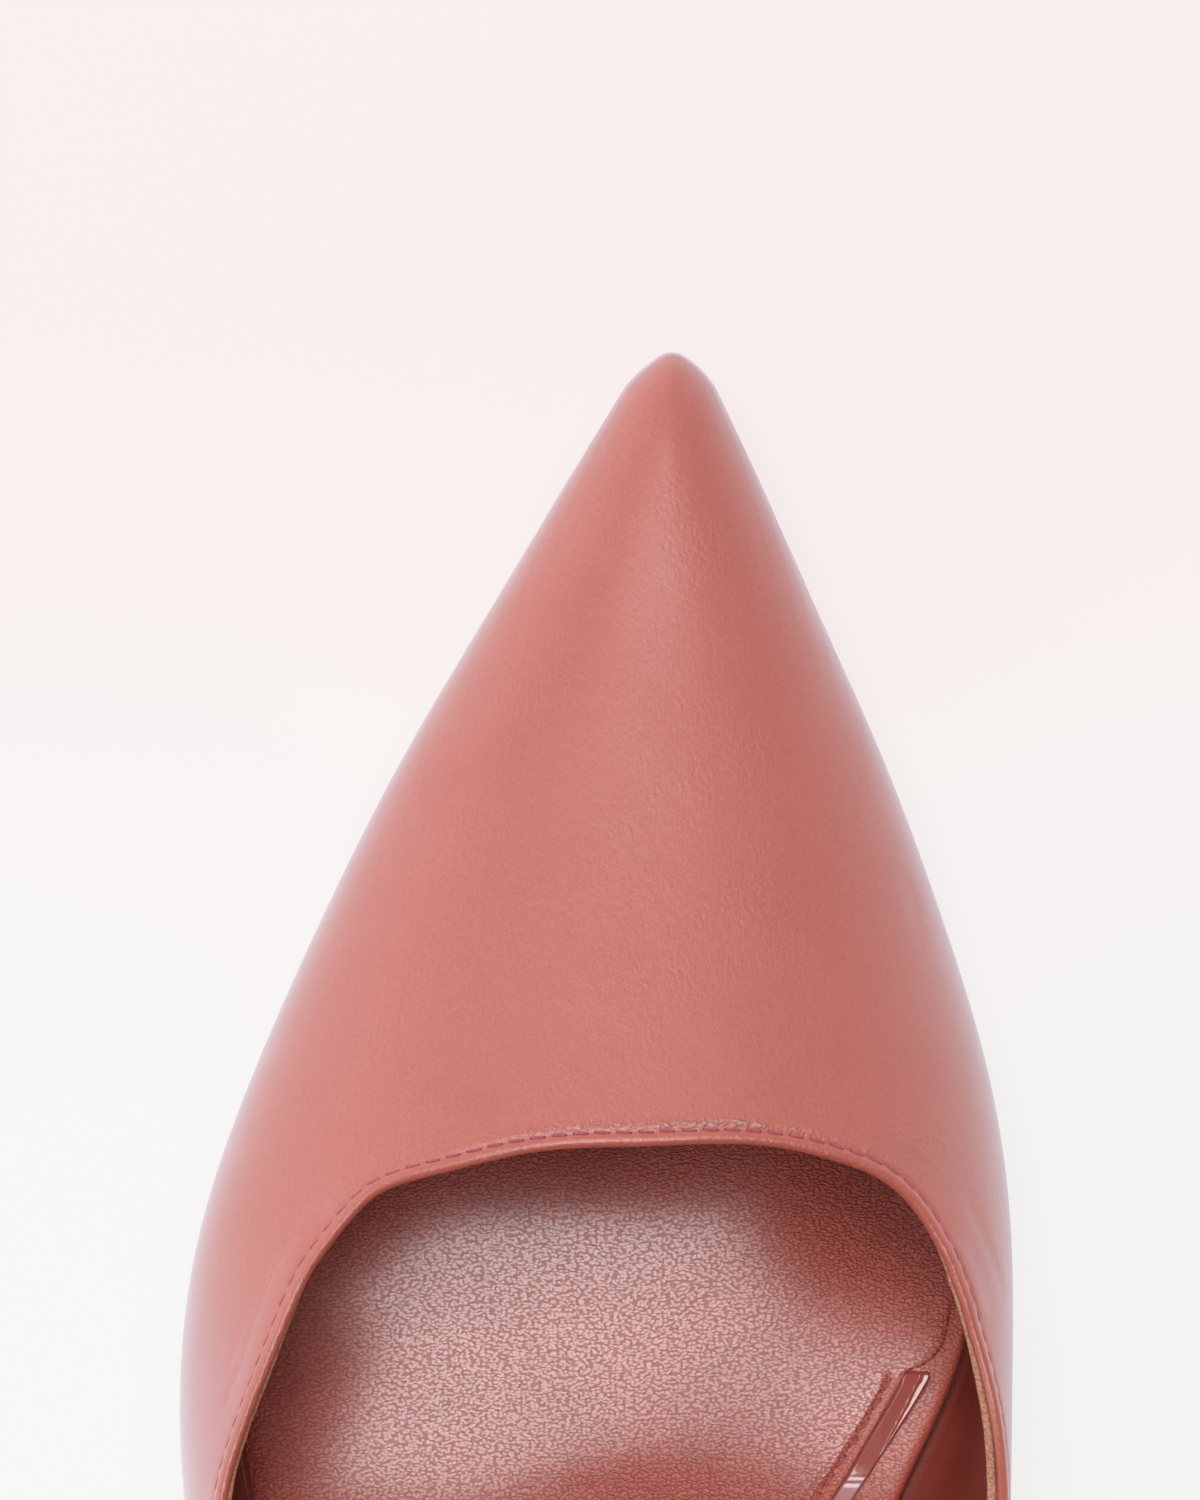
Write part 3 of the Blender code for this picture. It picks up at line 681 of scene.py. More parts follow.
def lines_from_topline(samples=220):
    """Lines over the skin from the topline to the feather line, square to the topline where they leave it.
    Returns run and arrays of place and turn with a row for each sample and a column for each line."""
    place, turn, run = topline()
    far = np.abs(run)
    back = np.where(run > 0, run.max(), -run.min())
    last_far, last_reach, _ = REACH[-1]
    reach_at = np.where(
        far < last_far,
        np.interp(far, REACH[:, 0], REACH[:, 1]),
        last_reach + (QUARTER_END - last_reach) * (far - last_far) / (back - last_far),
    )
    # round the nose the ends crowd towards the tip
    end_place = np.where(reach_at < TOE_ROUND, reach_at**2 / (2 * TOE_ROUND), reach_at - TOE_ROUND / 2)
    end_place += TOE_ROUND / 2 * reach_at / QUARTER_END
    end_turn = np.sign(run) * np.interp(far, REACH[:, 0], REACH[:, 2])
    start = spots(place, turn)
    end = spots(end_place, end_turn)
    length = np.linalg.norm(skin(place, turn) - skin(end_place, end_turn), axis=-1)
    leave = evened(square_to_topline(place, turn) * length[:, None])
    # behind the vamp they arrive straight round the section
    behind = smooth_step(far, 25, 50)[:, None]
    arrive = (end - start) * (1 - behind) + spots(0, end_turn - turn) * behind
    v = np.linspace(0, 1, samples)[:, None, None]
    lines = (2 * v**3 - 3 * v**2 + 1) * start + (v**3 - 2 * v**2 + v) * leave
    lines = lines + (3 * v**2 - 2 * v**3) * end + (v**3 - v**2) * arrive
    return run, lines[..., 0], np.clip(lines[..., 1], -180, 180)


def field_at(run, place, turn, first, fine, coarse_rows):
    """The grid on the lines: its rows are at set distances from the topline, fine ones first."""
    steps = np.linalg.norm(np.diff(skin(place, turn), axis=0), axis=-1)
    lengths = np.concatenate([np.zeros((1, len(run))), np.cumsum(steps, axis=0)])
    near = np.arange(first, BAND_END, fine)
    share = np.linspace(0, 1, coarse_rows + 1)[:, None]
    graded = share - 0.72 * np.sin(2 * np.pi * share) / (2 * np.pi)
    rest = BAND_END + (lengths[-1] - BAND_END) * graded
    off = np.concatenate([np.broadcast_to(near[:, None], (len(near), len(run))), rest])
    grid_place, grid_turn = np.empty((2, *off.shape))
    for j in range(len(run)):
        grid_place[:, j] = np.interp(off[:, j], lengths[:, j], place[:, j])
        grid_turn[:, j] = np.interp(off[:, j], lengths[:, j], turn[:, j])
    grid = skin(grid_place, grid_turn)
    down, across = np.gradient(grid, axis=0), np.gradient(grid, axis=1)
    normals = unit(np.cross(across, down))
    return Field(grid_place, grid_turn, np.broadcast_to(run, off.shape), off, grid, normals)


GROOVE_OFF, GROOVE_WIDE, GROOVE_DEEP = 1.3, 0.22, 0.15
BEAD_OFF, BEAD_WIDE, BEAD_HIGH = 0.72, 0.28, 0.05
PUCKER_OFF, PUCKER_WIDE, PUCKER_HIGH = 1.75, 0.3, 0.16
LUMPS_OFF, LUMPS_WIDE = 1.9, 0.42
STITCH_PITCH = 2.05
# how much the stitches gather the leather at a distance from the throat's middle
GATHERS = (
    (-30, 0), (-22, 0.4), (-12, 0.5), (-9, 1), (-2, 1),
    (1, 0.5), (6, 0.7), (14, 0.3), (24, 0),
)

CREASES = (
    # width across, height (a trough's is negative) and points (x, at) seen from above
    # the outer quarter: a soft swell beside the topline and two troughs outside it
    (1.3, 0.2, ((26.3, 82.5), (28.9, 87.7), (31, 93.4), (32.9, 99.1), (34.8, 104.3))),
    (0.45, -0.13, ((28, 84), (30.8, 88.2), (32.7, 93.4), (34.4, 98.6), (36.3, 102.9))),
    (0.4, -0.08, ((32.2, 89.6), (33.7, 93.9), (35.1, 98.1))),
    # the inner side: a swell down from the throat's corner and a fold at the joint
    (1.7, 0.22, ((-33, 84.1), (-35.1, 88.2), (-36.7, 93.4))),
    (1.1, -0.09, ((-34.4, 79.4), (-35.9, 82.5), (-37.2, 85.6), (-38.4, 88.8), (-39.2, 92))),
    (1, -0.1, ((-29, 50), (-30.4, 54), (-31.2, 58))),
)


def drift(places, size, seed):
    """A smooth random run from -1 to 1 along a line."""
    rolls = np.random.default_rng(seed).uniform(-1, 1, int(np.ptp(places) / size) + 4)
    knots = places.min() + size * (np.arange(len(rolls)) - 1)
    share = (places - knots[0]) / size
    i = share.astype(int)
    rest = smooth_step(share - i, 0, 1)
    return rolls[i] * (1 - rest) + rolls[i + 1] * rest


def crease_relief(points):
    """How far each point of the skin moves out for the creases."""
    relief = np.zeros(points.shape[:-1])
    for wide, high, nodes in CREASES:
        nodes = np.array(nodes)
        run = run_of(nodes)
        even = np.linspace(0, run[-1], 60)
        flat = spots(*(curve(even) for curve in curves_of(run, *nodes.T)))
        near = np.hypot(points[..., 0] - flat[0, 0], points[..., 1] - flat[0, 1]) < run[-1] + 4 * wide
        candidates = points[near & (points[..., 2] > 8)]
        gaps = np.linalg.norm(candidates[None, :, :2] - flat[:, None, :], axis=-1)
        line = candidates[gaps.argmin(axis=1)]
        gaps = np.linalg.norm(points[near][:, None, :] - line[None], axis=-1)
        along = gaps.argmin(axis=1) / (len(line) - 1)
        fade = smooth_step(along, 0, 0.25) * smooth_step(along, 1, 0.75)
        relief[near] += high * hump(gaps.min(axis=1), 0, wide) * fade
    return relief


def raised(field):
    """The skin's points, moved out for the stitched groove, its puckers and the creases."""
    off, line = field.off, field.run[0]
    pull = 0.75 + 0.25 * drift(line, 3, 1)
    groove = -GROOVE_DEEP * pull * hump(off, GROOVE_OFF, GROOVE_WIDE)
    bead = BEAD_HIGH * hump(off, BEAD_OFF, BEAD_WIDE)
    swell = 0.6 + 0.3 * np.cos(4 * np.pi * line / STITCH_PITCH) + 0.5 * drift(line, 0.8, 7)
    uneven = 0.65 + 0.35 * drift(line, 1.5 * STITCH_PITCH, 2)
    pucker_off = PUCKER_OFF + 0.15 * drift(line, 1.7, 3)
    pucker = PUCKER_HIGH * from_pairs(line, GATHERS) * swell * uneven * hump(off, pucker_off, PUCKER_WIDE)
    relief = groove + bead + pucker + crease_relief(field.points)
    return field.points + field.normals * relief[..., None]


def skin_grid(field, points):
    """The skin with its folded topline and rounded back edges, and the points' distances off the rim."""
    first, second = points[0], points[1]
    normal = field.normals[0]
    ahead = square_to(normal, unit(first - second))
    radius = ROLL * (1 + 0.04 * drift(field.run[0], 4, 4))[:, None]
    roll = [first + ahead * radius * math.sin(t) - normal * radius * (1 - math.cos(t)) for t in ROLL_TURNS]
    under = [roll[-1] - ahead * back for back in TUCK_UNDER]
    rows = np.concatenate([np.array(under[::-1] + roll[::-1]), points])
    roll_off = [ROLL * (1 - math.sin(t)) if t <= math.pi / 2 else -0.4 for t in ROLL_TURNS]
    fold_off = np.array([-0.5] * len(under) + roll_off[::-1])
    off = np.concatenate([np.broadcast_to(fold_off[:, None], (len(fold_off), len(normal))), field.off])
    # a back edge goes round a middle that is deep in the wall, and at the rim in the middle of the roll
    deep = ROLL + (BACK_ROUND - ROLL) * smooth_step(field.off, ROLL, 3)
    roll_middle = first - normal * ROLL
    middles = [roll_middle - ahead * back for back in TUCK_UNDER[::-1]] + [roll_middle] * len(roll)
    middles = np.concatenate([np.array(middles), points - field.normals * deep[..., None]])
    tight = np.ones((len(rows), 1))
    tight[: len(under)] = TUCK_TIGHT
    edges = []
    for end, inner in ((0, 1), (-1, -2)):
        middle = middles[:, end]
        arm = rows[:, end] - middle
        out = square_to(unit(arm), unit(rows[:, end] - rows[:, inner]))
        out = out * np.linalg.norm(arm, axis=-1, keepdims=True)
        edges.append([middle + tight * (arm * math.cos(t) + out * math.sin(t)) for t in BACK_TURNS])
    outer, inner = edges
    rows = np.concatenate([np.stack(outer[::-1], axis=1), rows, np.stack(inner, axis=1)], axis=1)
    return rows, with_ends(off)


def with_ends(values):
    """Values for the columns of the skin, with those of its first and last for the rounded back edges."""
    return np.pad(values, ((0, 0), (len(BACK_TURNS),) * 2), mode="edge")


def make_upper(field, skin_points):
    points, off = skin_grid(field, skin_points)
    x, at = points[..., 0], points[..., 1]
    run = with_ends(np.repeat([field.run[0]], len(off), axis=0))
    outside = off > PAST_STITCHES
    # the stitches pull fine lines, the vamp's inner corner is wrinkled, the outer quarter gets a painted
    # sheen
    beside = smooth_step(off, PAST_STITCHES, 2) * smooth_step(off, 5, 2.5)
    on_vamp = smooth_step(x, -22, -12) * smooth_step(x, 22, 10) * (at < 90)
    from_corner = np.hypot((x + 30) / 4.5, (at - 76.5) / 3)
    outer_quarter = smooth_step(at, 82, 102) * smooth_step(x, 27, 37)
    piece = sheet_piece(
        "upper_skin",
        points,
        nappa("upper_nappa", rim=True),
        "nappa",
        ["upper"],
        off_rim=off,
        gathered=from_pairs(run, GATHERS) * hump(off, LUMPS_OFF, LUMPS_WIDE),
        pulled=0.6 * beside * on_vamp,
        wrinkled=2.5 * hump(from_corner, 0, 1) * outside,
        bloomed=PAINTED_SHEEN_SHARE * outer_quarter * outside,
    )
    # the fold itself is pressed flat and has no bloom
    piece.data.materials.append(nappa("folded_nappa", rim=True, sheen=0))
    folded = [p.vertices[0] // points.shape[1] < FOLD_ROWS for p in piece.data.polygons]
    piece.data.polygons.foreach_set("material_index", np.array(folded, np.int32))


LINING_FACE = 1.1  # the lining starts this deep in the wall
LINING_STEP = 4  # one line of the lining for so many of the skin
# how far below the topline the lining ends, at distances from the throat's middle
LINING_TOP = (
    (-140, 0.15), (-60, 0.25), (-44, 0.45), (-30, 0.8), (-24, 1.1),
    (14, 1.1), (30, 0.65), (140, 0.5),
)
# how deep in the wall its inner face lies
LINING_DEPTH = (
    (-140, 2), (-60, 2), (-46, 1.75), (-34, 1.5), (-28, 1.4),
    (30, 1.4), (60, 1.6), (90, 2),
)
# further below the edge, and share of the lining's thickness, round its raw edge
RAW_ROUND = ((2.4, 0), (0.4, 0), (0.06, 0.08), (0, 0.35), (0.02, 0.75), (0.1, 1))


def make_lining(run, place, turn):
    """The lining's raw edge under the fold, and its face inside the shoe."""
    keep = np.unique(np.append(np.arange(0, len(run), LINING_STEP), len(run) - 1))
    run = run[keep]
    field = field_at(run, place[:, keep], turn[:, keep], first=0, fine=0.3, coarse_rows=40)
    below = from_pairs(run, LINING_TOP) + 0.09 * drift(run, 1.1, 5) + 0.05 * drift(run, 0.5, 6)
    face = from_pairs(run, LINING_DEPTH)
    rows, marks = [], []
    for off, share in RAW_ROUND:
        rows.append(at_distance(field, below + off, LINING_FACE + (face - LINING_FACE) * share))
        marks.append(0 * run)
    last = len(field.off) - 1
    for row in range(1, last + 1):
        off = below + 0.1 + (field.off[-1] - below - 0.1) * (row / last) ** 1.3
        rows.append(at_distance(field, off, face))
        marks.append(off)
    look = lining_leather(), "sock_leather"
    sheet_piece("quarter_lining", np.array(rows), *look, flip=True, off_rim=np.array(marks))


def at_distance(field, off, deep):
    """Points on the field's lines, each at its own distance from the topline and deep in the wall."""
    place = [np.interp(d, field.off[:, j], field.place[:, j]) for j, d in enumerate(off)]
    turn = [np.interp(d, field.off[:, j], field.turn[:, j]) for j, d in enumerate(off)]
    return skin(np.array(place), np.array(turn), deep)


# ---------------- stitches

STITCH_SHARES = np.linspace(-1, 1, 9)
STITCH_SIDES = 8
STITCH_DIVE = 0.16  # how far its ends go down into the holes


def stitches(name, row, material, slot, long=1.8, thick=0.15, slant=0.08, lift=0.1):
    """A row of stitches as one mesh. Each arches out of its two holes and lies a little askew.

    The row is their middles and, for each, the directions ahead and up.
    """
    middles, ahead, up = row
    across = unit(np.cross(ahead, up))
    share = STITCH_SHARES[None, :, None]
    arch = lift * (1 - share**4) - STITCH_DIVE * share**6
    along = ahead[:, None] * share * long / 2 + up[:, None] * arch + across[:, None] * share * slant
    lines = middles[:, None] + along
    thin = thick * np.sqrt(np.maximum(1 - STITCH_SHARES**6, 0.02))
    turns = 2 * np.pi * np.arange(STITCH_SIDES) / STITCH_SIDES
    ring = across[:, None, None] * np.cos(turns)[:, None] + up[:, None, None] * np.sin(turns)[:, None]
    points = lines[:, :, None] + ring * thin[:, None, None]
    size = len(STITCH_SHARES) * STITCH_SIDES
    one = ring_faces(len(STITCH_SHARES), STITCH_SIDES)
    faces = [[n + first for n in face] for first in range(0, len(middles) * size, size) for face in one]
    new_piece(name, points, faces, material, slot, to_end=np.abs(share))


def on_line(points, ups, pitch, start=0.6):
    """Middles, directions and ups of the stitches along a line of points."""
    run = run_of(points)
    places = np.arange(start * pitch, run[-1] - 0.4 * pitch, pitch)
    half = 0.3
    ahead = unit(at_places(places + half, run, points) - at_places(places - half, run, points))
    return at_places(places, run, points), ahead, unit(at_places(places, run, ups))


def make_topline_stitches(field, skin_points, material):
    row = np.abs(field.off[:, 0] - GROOVE_OFF).argmin()
    middles, ahead, ups = on_line(skin_points[row], field.normals[row], STITCH_PITCH)
    # the stitches sink into the leather down the sides
    from_throat = np.abs(np.linspace(field.run[0, 0], field.run[0, -1], len(middles)))
    sunk = 0.03 + 0.13 * smooth_step(from_throat, 14, 34)
    stitches("topline_stitches", (middles - ups * sunk[:, None], ahead, ups), material, "nappa")


# ---------------- insole

SOCK_TOP = OUTSOLE_THICK + GAP + INSOLE_THICK
SOCK_ROUND = 0.9
COVER_THICK = 0.45  # the pebbled cover over the insole
COVER_ROUND = 0.4
COVER_FOLDED, COVER_PLAIN = (98.5, 100.5), (152, 150)  # where its folded, stitched edge begins and ends
FINE_FROM, FINE_TO = 92, 114  # the insole's rows are closer between these
ARCH_FROM = 90  # the insole's inner side is bare from here on

ARCH_COLUMNS = ("at", "cover", "strip_outer", "strip_inner", "stitch")
ARCH_LINES = (
    # distances inwards from the insole's inner edge
    (ARCH_FROM, 1.6, 2.3, 5.3, 6),
    (93.9, 2.1, 2.3, 5.3, 6),
    (96, 2.1, 2.3, 5.3, 6),
    (97, 2.3, 2.3, 5.3, 6),
    (97.8, 2.8, 2.3, 5.3, 6.1),
    (98.5, 3.6, 2.3, 5.3, 6.2),
    (99, 4.8, 2.3, 5.3, 6.3),
    (100.4, 5.1, 2.55, 5.1, 6.3),
    (104, 5.6, 3.2, 5.6, 6.8),
    (109, 6.1, 4.05, 6.1, 7.6),
    (112, 6.7, 4.7, 6.7, 8.4),
    (125, 8.2, 6, 8.2, 9.9),
    (140, 7.8, 5.6, 7.8, 9.4),
    (152, 7.2, 5, 7, 8.5),
)

DEEPEST_DIP = 2.9
SOCK_MOUNDS = (
    # x, at, width, length, degrees from the shoe's length and height of the insole's swells and dips
    (-3, 97, 24, 22, 0, 1.6),
    (-6, 70, 40, 11, 0, -1.8),
    (39, 90, 13, 30, 0, -0.6),
    (-33, 77, 10, 13.5, -14, -4.2),
    (-33, 100, 13, 12, 0, 1),
    (-3, 114, 11, 6, 0, 0.8),
    (31, 76, 12, 10, 0, -1.3),
    (19, 102.5, 16, 9, 0, 0.6),
)


def arch_line(name, at):
    columns = dict(zip(ARCH_COLUMNS, zip(*ARCH_LINES)))
    return np.interp(at, columns["at"], columns[name])


def sock_swell(x, at):
    swell = np.zeros(np.broadcast(x, at).shape)
    for middle_x, middle_at, wide, long, degrees, high in SOCK_MOUNDS:
        turn = math.radians(degrees)
        across = (x - middle_x) * math.cos(turn) + (at - middle_at) * math.sin(turn)
        along = (at - middle_at) * math.cos(turn) - (x - middle_x) * math.sin(turn)
        swell += high * hump(across, 0, wide) * hump(along, 0, long)
    return np.where(swell < 0, DEEPEST_DIP * np.tanh(swell / DEEPEST_DIP), swell)


def edge_drop(distance, radius):
    """How far a rounded edge lies below the flat at a distance from its rim."""
    return radius * (1 - round_share(distance, radius))


def sock_height(x, at):
    """Height of the insole's top, rounded over at its edges."""
    outer, inner = sole_edges(at, -GAP)
    edge = np.minimum(outer - x, x - inner)
    return layer_height(at, SOCK_TOP - COVER_THICK) - edge_drop(edge, SOCK_ROUND) + sock_swell(x, at)


def sock_points(at, inwards, up=0):
    """Points on the insole's body at a distance inwards from its inner edge."""
    x = sole_edge("medial", at, -GAP) + inwards
    return spots(x, at, sock_height(x, at) + up)


def nose_places(start, first, count):
    """Places that crowd round the toe."""
    return start + TOE_ROUND * (1 - np.cos(np.linspace(first, np.pi / 2, count)[:-1]))


def sock_places(step):
    """Places of the insole's rows: crowded round the toe and the seat, and finer where the arch begins."""
    start, seat = FEATHER_TIP + GAP, LENGTH - HEEL_ROUND
    nose = nose_places(start, 0.02, 8)
    front = np.arange(start + TOE_ROUND, FINE_FROM, step)
    arch = np.arange(FINE_FROM, FINE_TO, step / 2)
    back = seat + (HEEL_ROUND - GAP) * np.sin(np.linspace(0, np.pi / 2 - 0.01, 40))
    return np.concatenate([nose, front, arch, np.arange(FINE_TO, seat, step), back])


def across_sock(inner, wide, near, shares):
    """x across each row of the insole: steps near its inner edge, closer where it's narrow, then shares."""
    near = near * np.minimum(wide / 20, 1)
    far = near[:, -1:] + (wide - near[:, -1:]) * shares[1:]
    return inner + np.concatenate([near, far], axis=1)


def make_insole(material):
    """The insole's body, which shows as a band along the arch outside its cover."""
    at = sock_places(0.8)[:, None]
    outer, inner = sole_edges(at, -GAP)
    x = across_sock(inner, outer - inner, np.arange(0, 9, 0.3), np.linspace(0, 1, 45) ** 0.9)
    low_x = inner + (outer - inner) * np.array([1, 0.97, 0.5, 0.03, 0])
    low_z = layer_height(at, OUTSOLE_THICK + GAP + np.array([0.4, 0, 0, 0, 0.4]))
    top = spots(x, at, sock_height(x, at))
    rings = np.concatenate([top, spots(low_x, at, low_z)], axis=1)
    edge = np.concatenate([np.minimum(outer - x, x - inner), 0 * low_x], axis=1)
    smooth = 1 - 0.55 * smooth_step(edge, 0.6, 1.6)
    closed_piece("insole_body", rings, material, "sock_leather", ["insole"], smooth=smooth)


def make_sock_cover(material):
    """The pebbled cover glued on the insole. Along the arch its edge is folded and stitched."""
    at = sock_places(0.5)[:, None]
    outer, inner = sole_edges(at, -GAP)
    outer = outer - 0.5
    shown = np.where(at > ARCH_FROM, arch_line("cover", at), 0.4 + smooth_step(at, 60, ARCH_FROM))
    inner = inner + np.minimum(shown, 0.3 * np.maximum(outer - inner, 0))
    wide = np.maximum(outer - inner, 0.2)
    fold = COVER_ROUND * (1 + np.sin(np.radians(np.arange(-70, 0, 20))))
    x = across_sock(inner, wide, np.concatenate([fold, np.arange(1, 7, 0.3)]), np.linspace(0, 1, 61))
    drop = edge_drop(x - inner, COVER_ROUND) + COVER_ROUND * smooth_step(outer - x, 0.5, 0)
    on_arch = smooth_step(at, *COVER_FOLDED) * smooth_step(at, *COVER_PLAIN)
    to_stitch = x - (sole_edge("medial", at, -GAP) + arch_line("stitch", at))
    groove = on_arch * (0.22 * hump(to_stitch, 0, 0.3) - 0.08 * hump(to_stitch, 0.7, 0.5))
    points = spots(x, at, sock_height(x, at) + COVER_THICK - drop - groove)
    smooth = on_arch * smooth_step(to_stitch, 0.15, -0.1)
    sheet_piece("sock_cover", points, material, "sock_leather", smooth=smooth)


STRIP_FROM, STRIP_TO = 99, 151
STRIP_CREASES = (109.2, 109.8)
STRIP_CORNER = 0.9


def make_arch_strip():
    """The glossy strip let in along the arch, creased, with its outer side raised where it begins."""
    at = np.arange(STRIP_FROM, STRIP_TO, 0.15)[:, None]
    outer, inner = arch_line("strip_outer", at), arch_line("strip_inner", at)
    ends = np.minimum(at - STRIP_FROM, STRIP_TO - at)
    narrow = edge_drop(np.maximum(ends, 0.03 * STRIP_CORNER), STRIP_CORNER)
    share = 0.5 - 0.5 * np.cos(np.linspace(0, np.pi, 33))[None]
    into = (inner - outer) * share
    inwards = outer + narrow + (inner - outer - 2 * narrow) * share
    # the outer side slopes down from the front end and is gone at the creases; the rest leans outwards
    before = np.clip((STRIP_CREASES[0] - at) / (STRIP_CREASES[0] - STRIP_FROM), 0, 1)
    ledge = 0.95 * before**0.8 + 0.07 * drift(at[:, 0], 0.8, 8)[:, None] * (before > 0)
    side = (0.12 + 0.85 * before**0.65) * smooth_step(into, ledge + 0.07, ledge - 0.07)
    side = side + 0.24 * np.maximum(ledge - into, 0)
    rising = 0.05 * np.clip(at - STRIP_FROM, 0, STRIP_CREASES[0] - STRIP_FROM)
    lean = 0.14 * np.clip(8 * before, 0, 1) * into
    edge = np.minimum(into, inner - outer - into)
    up = 0.1 + np.maximum(side, rising) + lean - 0.28 * smooth_step(edge, 0.2, 0)
    up = up - 0.4 * smooth_step(ends, 0.3, 0)
    folds = sum(hump(at, crease, 0.13) for crease in STRIP_CREASES)
    past = np.maximum(at - STRIP_CREASES[1], 0)
    up = up + 0.05 * folds - 0.12 * (1 - np.exp(-past / 6))
    points = sock_points(np.broadcast_to(at, inwards.shape), inwards, up)
    faces = sheet_faces(*points.shape[:2])
    # where the strip gets its painted reflection, past the creases
    dulled = smooth_step(at, STRIP_CREASES[0] - 0.3, STRIP_CREASES[1])
    new_piece("arch_strip", points, faces, patent_strip(), "sock_leather", dulled=dulled)


ARCH_PITCH = 2.2


def make_arch_stitches(material):
    at = np.arange(STRIP_FROM + 0.1, STRIP_TO - 1, 0.5)
    line = sock_points(at, arch_line("stitch", at), COVER_THICK - 0.12)
    row = on_line(line, np.broadcast_to((0, -0.1, 1), line.shape), ARCH_PITCH)
    stitches("arch_stitches", row, material, "sock_leather", long=1.7, thick=0.11, lift=0.05)


# ---------------- strap

STRAP_WIDE, STRAP_THICK, STRAP_ROUND = 8, 1.6, 0.65
STRAP_GAP, STRAP_REACH = 0.45, 4
ANKLE_AT = 195
STRAP_SEATS = {
    # place along the quarter and angle round the section, where an end lies against its inside
    "lateral": ((144, 2.1), (151, 1), (158, 0.6)),
    "medial": ((144, -14.5), (151, -16), (158, -17.2)),
}
STRAP = np.array([  # at, x, height of the centreline and its lean towards the ankle in degrees
    (172, 23.8, 83.4, 4),
    (187, 23, 97, 7),
    (204, 21.2, 111.6, 8),
    (219, 15.8, 123.2, 8),
    (230, 6, 130.5, 8),
    (233, -3.5, 132.4, 8),
    (230, -13, 130.5, 8),
    (219, -22.6, 123.2, 8),
    (204, -27.4, 111.6, 8),
    (187, -28.2, 97, 4),
    (172, -27.8, 83.4, 0),
])
STRAP_STITCH_IN = 1.3
STRAP_STITCH_PITCH = 2.1
STRAP_STITCH_SUNK = 0.06
END_ROWS = (1.6, 4.2)  # the rows of stitches across an end, from its tip
END_STITCHES = (-1.9, 0, 1.9)


def strap_line():
    """Rows of centre and upright direction, from inside the outer quarter round the heel to the inner."""
    deep = WALL + STRAP_GAP + STRAP_THICK / 2
    ends = []
    for side, seats in STRAP_SEATS.items():
        place, angle = np.array(seats).T
        turns = angle, angle + STRAP_REACH, angle - STRAP_REACH
        centre, above, below = (last_points(side, place, turn, deep) for turn in turns)
        ends.append(np.concatenate([centre, unit(above - below)], axis=1))
    at, x, height, degrees = STRAP.T
    lean = np.radians(degrees)[:, None]
    to_ankle = unit(spots(HEEL_X - x, ANKLE_AT - at, 0))
    upright = np.array([0, 0, 1]) * np.cos(lean) + to_ankle * np.sin(lean)
    free = np.concatenate([spots(x, at, height), upright], axis=1)
    return np.concatenate([ends[0], free, ends[1][::-1]])


def strap_frames(steps=420):
    """Centre, width and thickness directions along the strap. The thickness points away from the ankle."""
    rows = strap_line()
    run = run_of(rows[:, :3])
    even = np.linspace(0, run[-1], steps + 1)
    rows = spots(*(curve(even) for curve in curves_of(run, *rows.T)))
    centres, upright = rows[:, :3], rows[:, 3:]
    ahead = unit(np.gradient(centres, axis=0))
    thick = unit(np.cross(upright, ahead))
    wide = unit(np.cross(ahead, thick))
    outwards = np.sign((thick * (centres - (HEEL_X, ANKLE_AT - 25, 100))).sum(axis=-1))
    return centres, wide, thick * np.median(outwards)


def rounded_band(wide, thick, round_by, flat=7, corner=5):
    """The outline of a flat band's section: (across, out) points, going round once."""
    outline = []
    for side, face, turn in ((1, 1, 0), (-1, 1, 90), (-1, -1, 180), (1, -1, 270)):
        middle = side * (wide / 2 - round_by), face * (thick / 2 - round_by)
        for i in range(corner):
            angle = math.radians(turn + 90 * i / (corner - 1))
            outline.append((middle[0] + round_by * math.cos(angle), middle[1] + round_by * math.sin(angle)))
        if turn in (0, 180):
            outline += [(middle[0] * (1 - 2 * i / flat), face * thick / 2) for i in range(1, flat)]
    return np.array(outline)


def make_strap(thread_material):
    centres, wide, thick = strap_frames()
    across, out = rounded_band(STRAP_WIDE, STRAP_THICK, STRAP_ROUND).T
    stitch_line = STRAP_WIDE / 2 - STRAP_STITCH_IN
    out = out - 0.12 * hump(np.abs(across), stitch_line, 0.35) * (out > STRAP_THICK / 2 - 0.1)
    rings = centres[:, None] + wide[:, None] * across[:, None] + thick[:, None] * out[:, None]
    closed_piece("sling_strap", rings, nappa("strap_nappa"), "strap_leather", ["strap"])
    face = STRAP_THICK / 2 - STRAP_STITCH_SUNK
    look = {"material": thread_material, "slot": "strap_leather", "long": 1.6, "slant": 0.05}
    for number, side in enumerate((-1, 1), 1):
        line = centres + wide * side * stitch_line + thick * face
        stitches(f"strap_stitches_{number}", on_line(line, thick, STRAP_STITCH_PITCH), **look)
    # rows of stitches across each end, on the inner face, hold the strap to the quarters
    run = run_of(centres)
    places = [*END_ROWS, *(run[-1] - place for place in END_ROWS[::-1])]
    ends = [np.abs(run - place).argmin() for place in places for _ in END_STITCHES]
    off_middle = np.tile(END_STITCHES, len(places))[:, None]
    middles = centres[ends] + wide[ends] * off_middle - thick[ends] * face
    stitches("strap_end_stitches", (middles, wide[ends], -thick[ends]), **look)


# ---------------- outsole, heel, top lift

